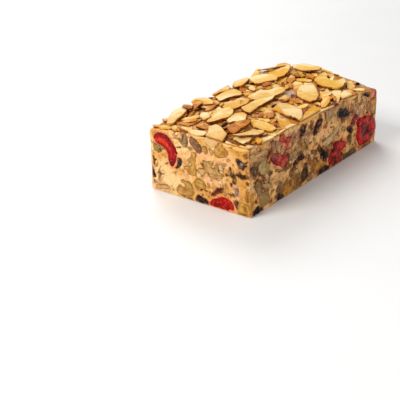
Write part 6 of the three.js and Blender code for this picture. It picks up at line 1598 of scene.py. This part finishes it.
TOP_RAISINS = [  # x, y, half length, half width, turn
    (20.9, 32.8, 5.0, 1.9, 18), (13.9, 42.3, 3.4, 1.6, 39), (62.0, 26.0, 3.4, 1.6, -20), (138.6, 12.6, 2.6, 1.6, 20),
    (118.6, 66.8, 2.2, 1.4, 10), (134.4, 33.0, 2.0, 1.3, 60), (41.6, 57.6, 2.4, 0.8, 0), (57.8, 53.0, 1.3, 1.0, 0),
]
TOP_SKINS = [  # x, y, length, width, turn, colour
    (24.0, 62.0, 9, 4, 46, SKIN_RED), (10.5, 42.0, 10, 4, 44, SKIN_RED), (33.0, 24.0, 9, 3.2, 6, SKIN_BROWN), (22.6, 58.4, 8, 3, 20, SKIN_BROWN),
    (36.0, 57.6, 7, 3, -10, SKIN_RED), (2.6, 15.4, 8, 3.4, 70, SKIN_BROWN), (8.0, 6.4, 8, 3, 30, SKIN_RED), (83.6, 26.4, 8, 4, 30, SKIN_RED),
    (67.5, 20.6, 8, 3, -10, SKIN_BROWN), (77.6, 47.4, 9, 3, -18, SKIN_RED), (93.0, 49.0, 8, 3, 10, SKIN_RED), (110.6, 62.0, 11, 3.4, 30, SKIN_BROWN),
    (121.4, 39.6, 8, 3, 80, SKIN_RED), (113.0, 26.0, 7, 3, 10, SKIN_BROWN), (100.6, 15.6, 6, 2.6, 60, SKIN_RED), (46.0, 36.6, 8, 2.6, 8, SKIN_RED),
    (72.0, 60.0, 7, 3, 40, SKIN_RED), (50.0, 19.0, 6, 2.6, 60, SKIN_RED), (61.0, 6.6, 8, 2.6, 20, SKIN_RED),
    (14.0, 28.0, 6, 2.4, 60, SKIN_RED), (91.0, 63.6, 7, 2.6, 14, SKIN_BROWN), (52.0, 51.0, 5, 2, 30, SKIN_RED),
]


def height_at(x, y):
    i = int(np.clip(round(x / STEP), 0, GX.shape[0] - 1))
    j = int(np.clip(round(y / STEP), 0, GX.shape[1] - 1))
    return float(LAID[i, j])


def make_top_bits(before):
    if before:
        flakes, berries = Batch(), Batch()
        for k, (x, y, length, width, turn, colour) in enumerate(TOP_SKINS):
            t = np.arange(20) * 2 * math.pi / 20
            outline = turned(np.stack([np.cos(t) * length / 2, np.sin(t) * width / 2], 1), turn, x, y)
            plane = rest_plane(outline, 0.5, 0.1)
            flakes.add(*flake_mesh(x, y, length, width, turn, plane, 60 + k, colour))
        for k in range(46):
            x, y = rng.uniform(4, LENGTH - 4), rng.uniform(4, WIDTH - 3)
            length, width, turn = rng.uniform(2.5, 6), rng.uniform(1.2, 2.6), rng.uniform(0, 180)
            if x > 118 and y < 26:
                continue
            t = np.arange(20) * 2 * math.pi / 20
            outline = turned(np.stack([np.cos(t) * length / 2, np.sin(t) * width / 2], 1), turn, x, y)
            plane = rest_plane(outline, 0.4, 0.1)
            if plane is not None:
                flakes.add(*flake_mesh(x, y, length, width, turn, plane, 160 + k, SKIN_RED if k % 2 else SKIN_BROWN))
        for k, (x, y, a, b, turn) in enumerate(TOP_RAISINS):
            z = height_at(x, y) + 0.05 * b
            berries.add(*berry_mesh(x, y, z, a, b, b * 0.85, turn, 80 + k, (0.03, 0.016, 0.018)))
            near = np.hypot(GX - x, GY - y) < b
            LAID[near] = np.maximum(LAID[near], z + b * 0.6)
        build("almond_skins", flakes, SKIN, "almond")
        build("raisins_on_top", berries, RAISIN, "raisin")


make_cake()
make_set_in()
make_top_bits(True)
make_almonds()

# ------------------------------------------------------------------ floor, light and camera


def plain_material(name, colour, rough):
    g = Graph(name)
    tint = g.mix(g.span(g.noise(60, 2), 0.3, 0.7, 0, 1), colour, tuple(c * 0.985 for c in colour))
    return g.surface(colour=tint, rough=rough, spec=0.3)


floor_mesh = bpy.data.meshes.new("floor")
floor_mesh.from_pydata([(-6, -6, 0), (6, -6, 0), (6, 6, 0), (-6, 6, 0)], [], [(0, 1, 2, 3)])
floor_mesh.materials.append(plain_material("floor", (0.86, 0.865, 0.87), 0.55))
floor = bpy.data.objects.new("floor", floor_mesh)
bpy.context.scene.collection.objects.link(floor)
floor.location.z = -0.0003

scene = bpy.context.scene
world = bpy.data.worlds.new("studio")
scene.world = world
world.use_nodes = True
background = world.node_tree.nodes["Background"]
background.inputs["Color"].default_value = (1.0, 0.985, 0.965, 1)
background.inputs["Strength"].default_value = 0.36
scene.view_settings.view_transform = "Standard"
scene.view_settings.look = "None"
scene.view_settings.exposure = 0.0

YAW, PITCH, ROLL, FOCAL = 0.706628, 0.439690, -0.048520, 813.07  # of the camera, and its focal length in pixels of a 400 wide view
EYE = np.array([-325.196, -241.437, 202.906])
forward = np.array([math.cos(YAW) * math.cos(PITCH), math.sin(YAW) * math.cos(PITCH), -math.sin(PITCH)])
right = np.array([math.sin(YAW), -math.cos(YAW), 0.0])
up = np.cross(right, forward)
right2 = math.cos(ROLL) * right + math.sin(ROLL) * up
up2 = -math.sin(ROLL) * right + math.cos(ROLL) * up

camera_data = bpy.data.cameras.new("camera")
camera_data.sensor_width = 36.0
camera_data.sensor_fit = "HORIZONTAL"
camera_data.lens = FOCAL / 400.0 * 36.0
camera_data.clip_start, camera_data.clip_end = 0.02, 20.0
camera = bpy.data.objects.new("camera", camera_data)
scene.collection.objects.link(camera)
place = Matrix.Identity(4)
for row in range(3):
    place[row][0], place[row][1], place[row][2] = right2[row], up2[row], -forward[row]
    place[row][3] = EYE[row] / 1000.0 + CORNER[row]
camera.matrix_world = place
scene.camera = camera


def lamp(name, direction, distance, size, power, colour=(1, 1, 1)):
    """A square area light, towards direction from the loaf's middle."""
    data = bpy.data.lights.new(name, "AREA")
    data.shape, data.size, data.energy, data.color = "SQUARE", size, power, colour
    obj = bpy.data.objects.new(name, data)
    scene.collection.objects.link(obj)
    d = Vector(direction).normalized()
    centre = Vector((0, 0, 0.02))
    obj.location = centre + d * distance
    obj.rotation_euler = (-d).to_track_quat("-Z", "Y").to_euler()
    return obj


lamp("key", (-0.70, 0.22, 0.66), 1.1, 0.45, 8.0, (1.0, 0.98, 0.95))
lamp("front", (-0.35, -0.85, 0.55), 1.2, 0.35, 2.6, (1.0, 0.98, 0.96))
lamp("back", (0.55, 0.75, 0.75), 1.3, 0.7, 9.0, (1.0, 1.0, 1.0))
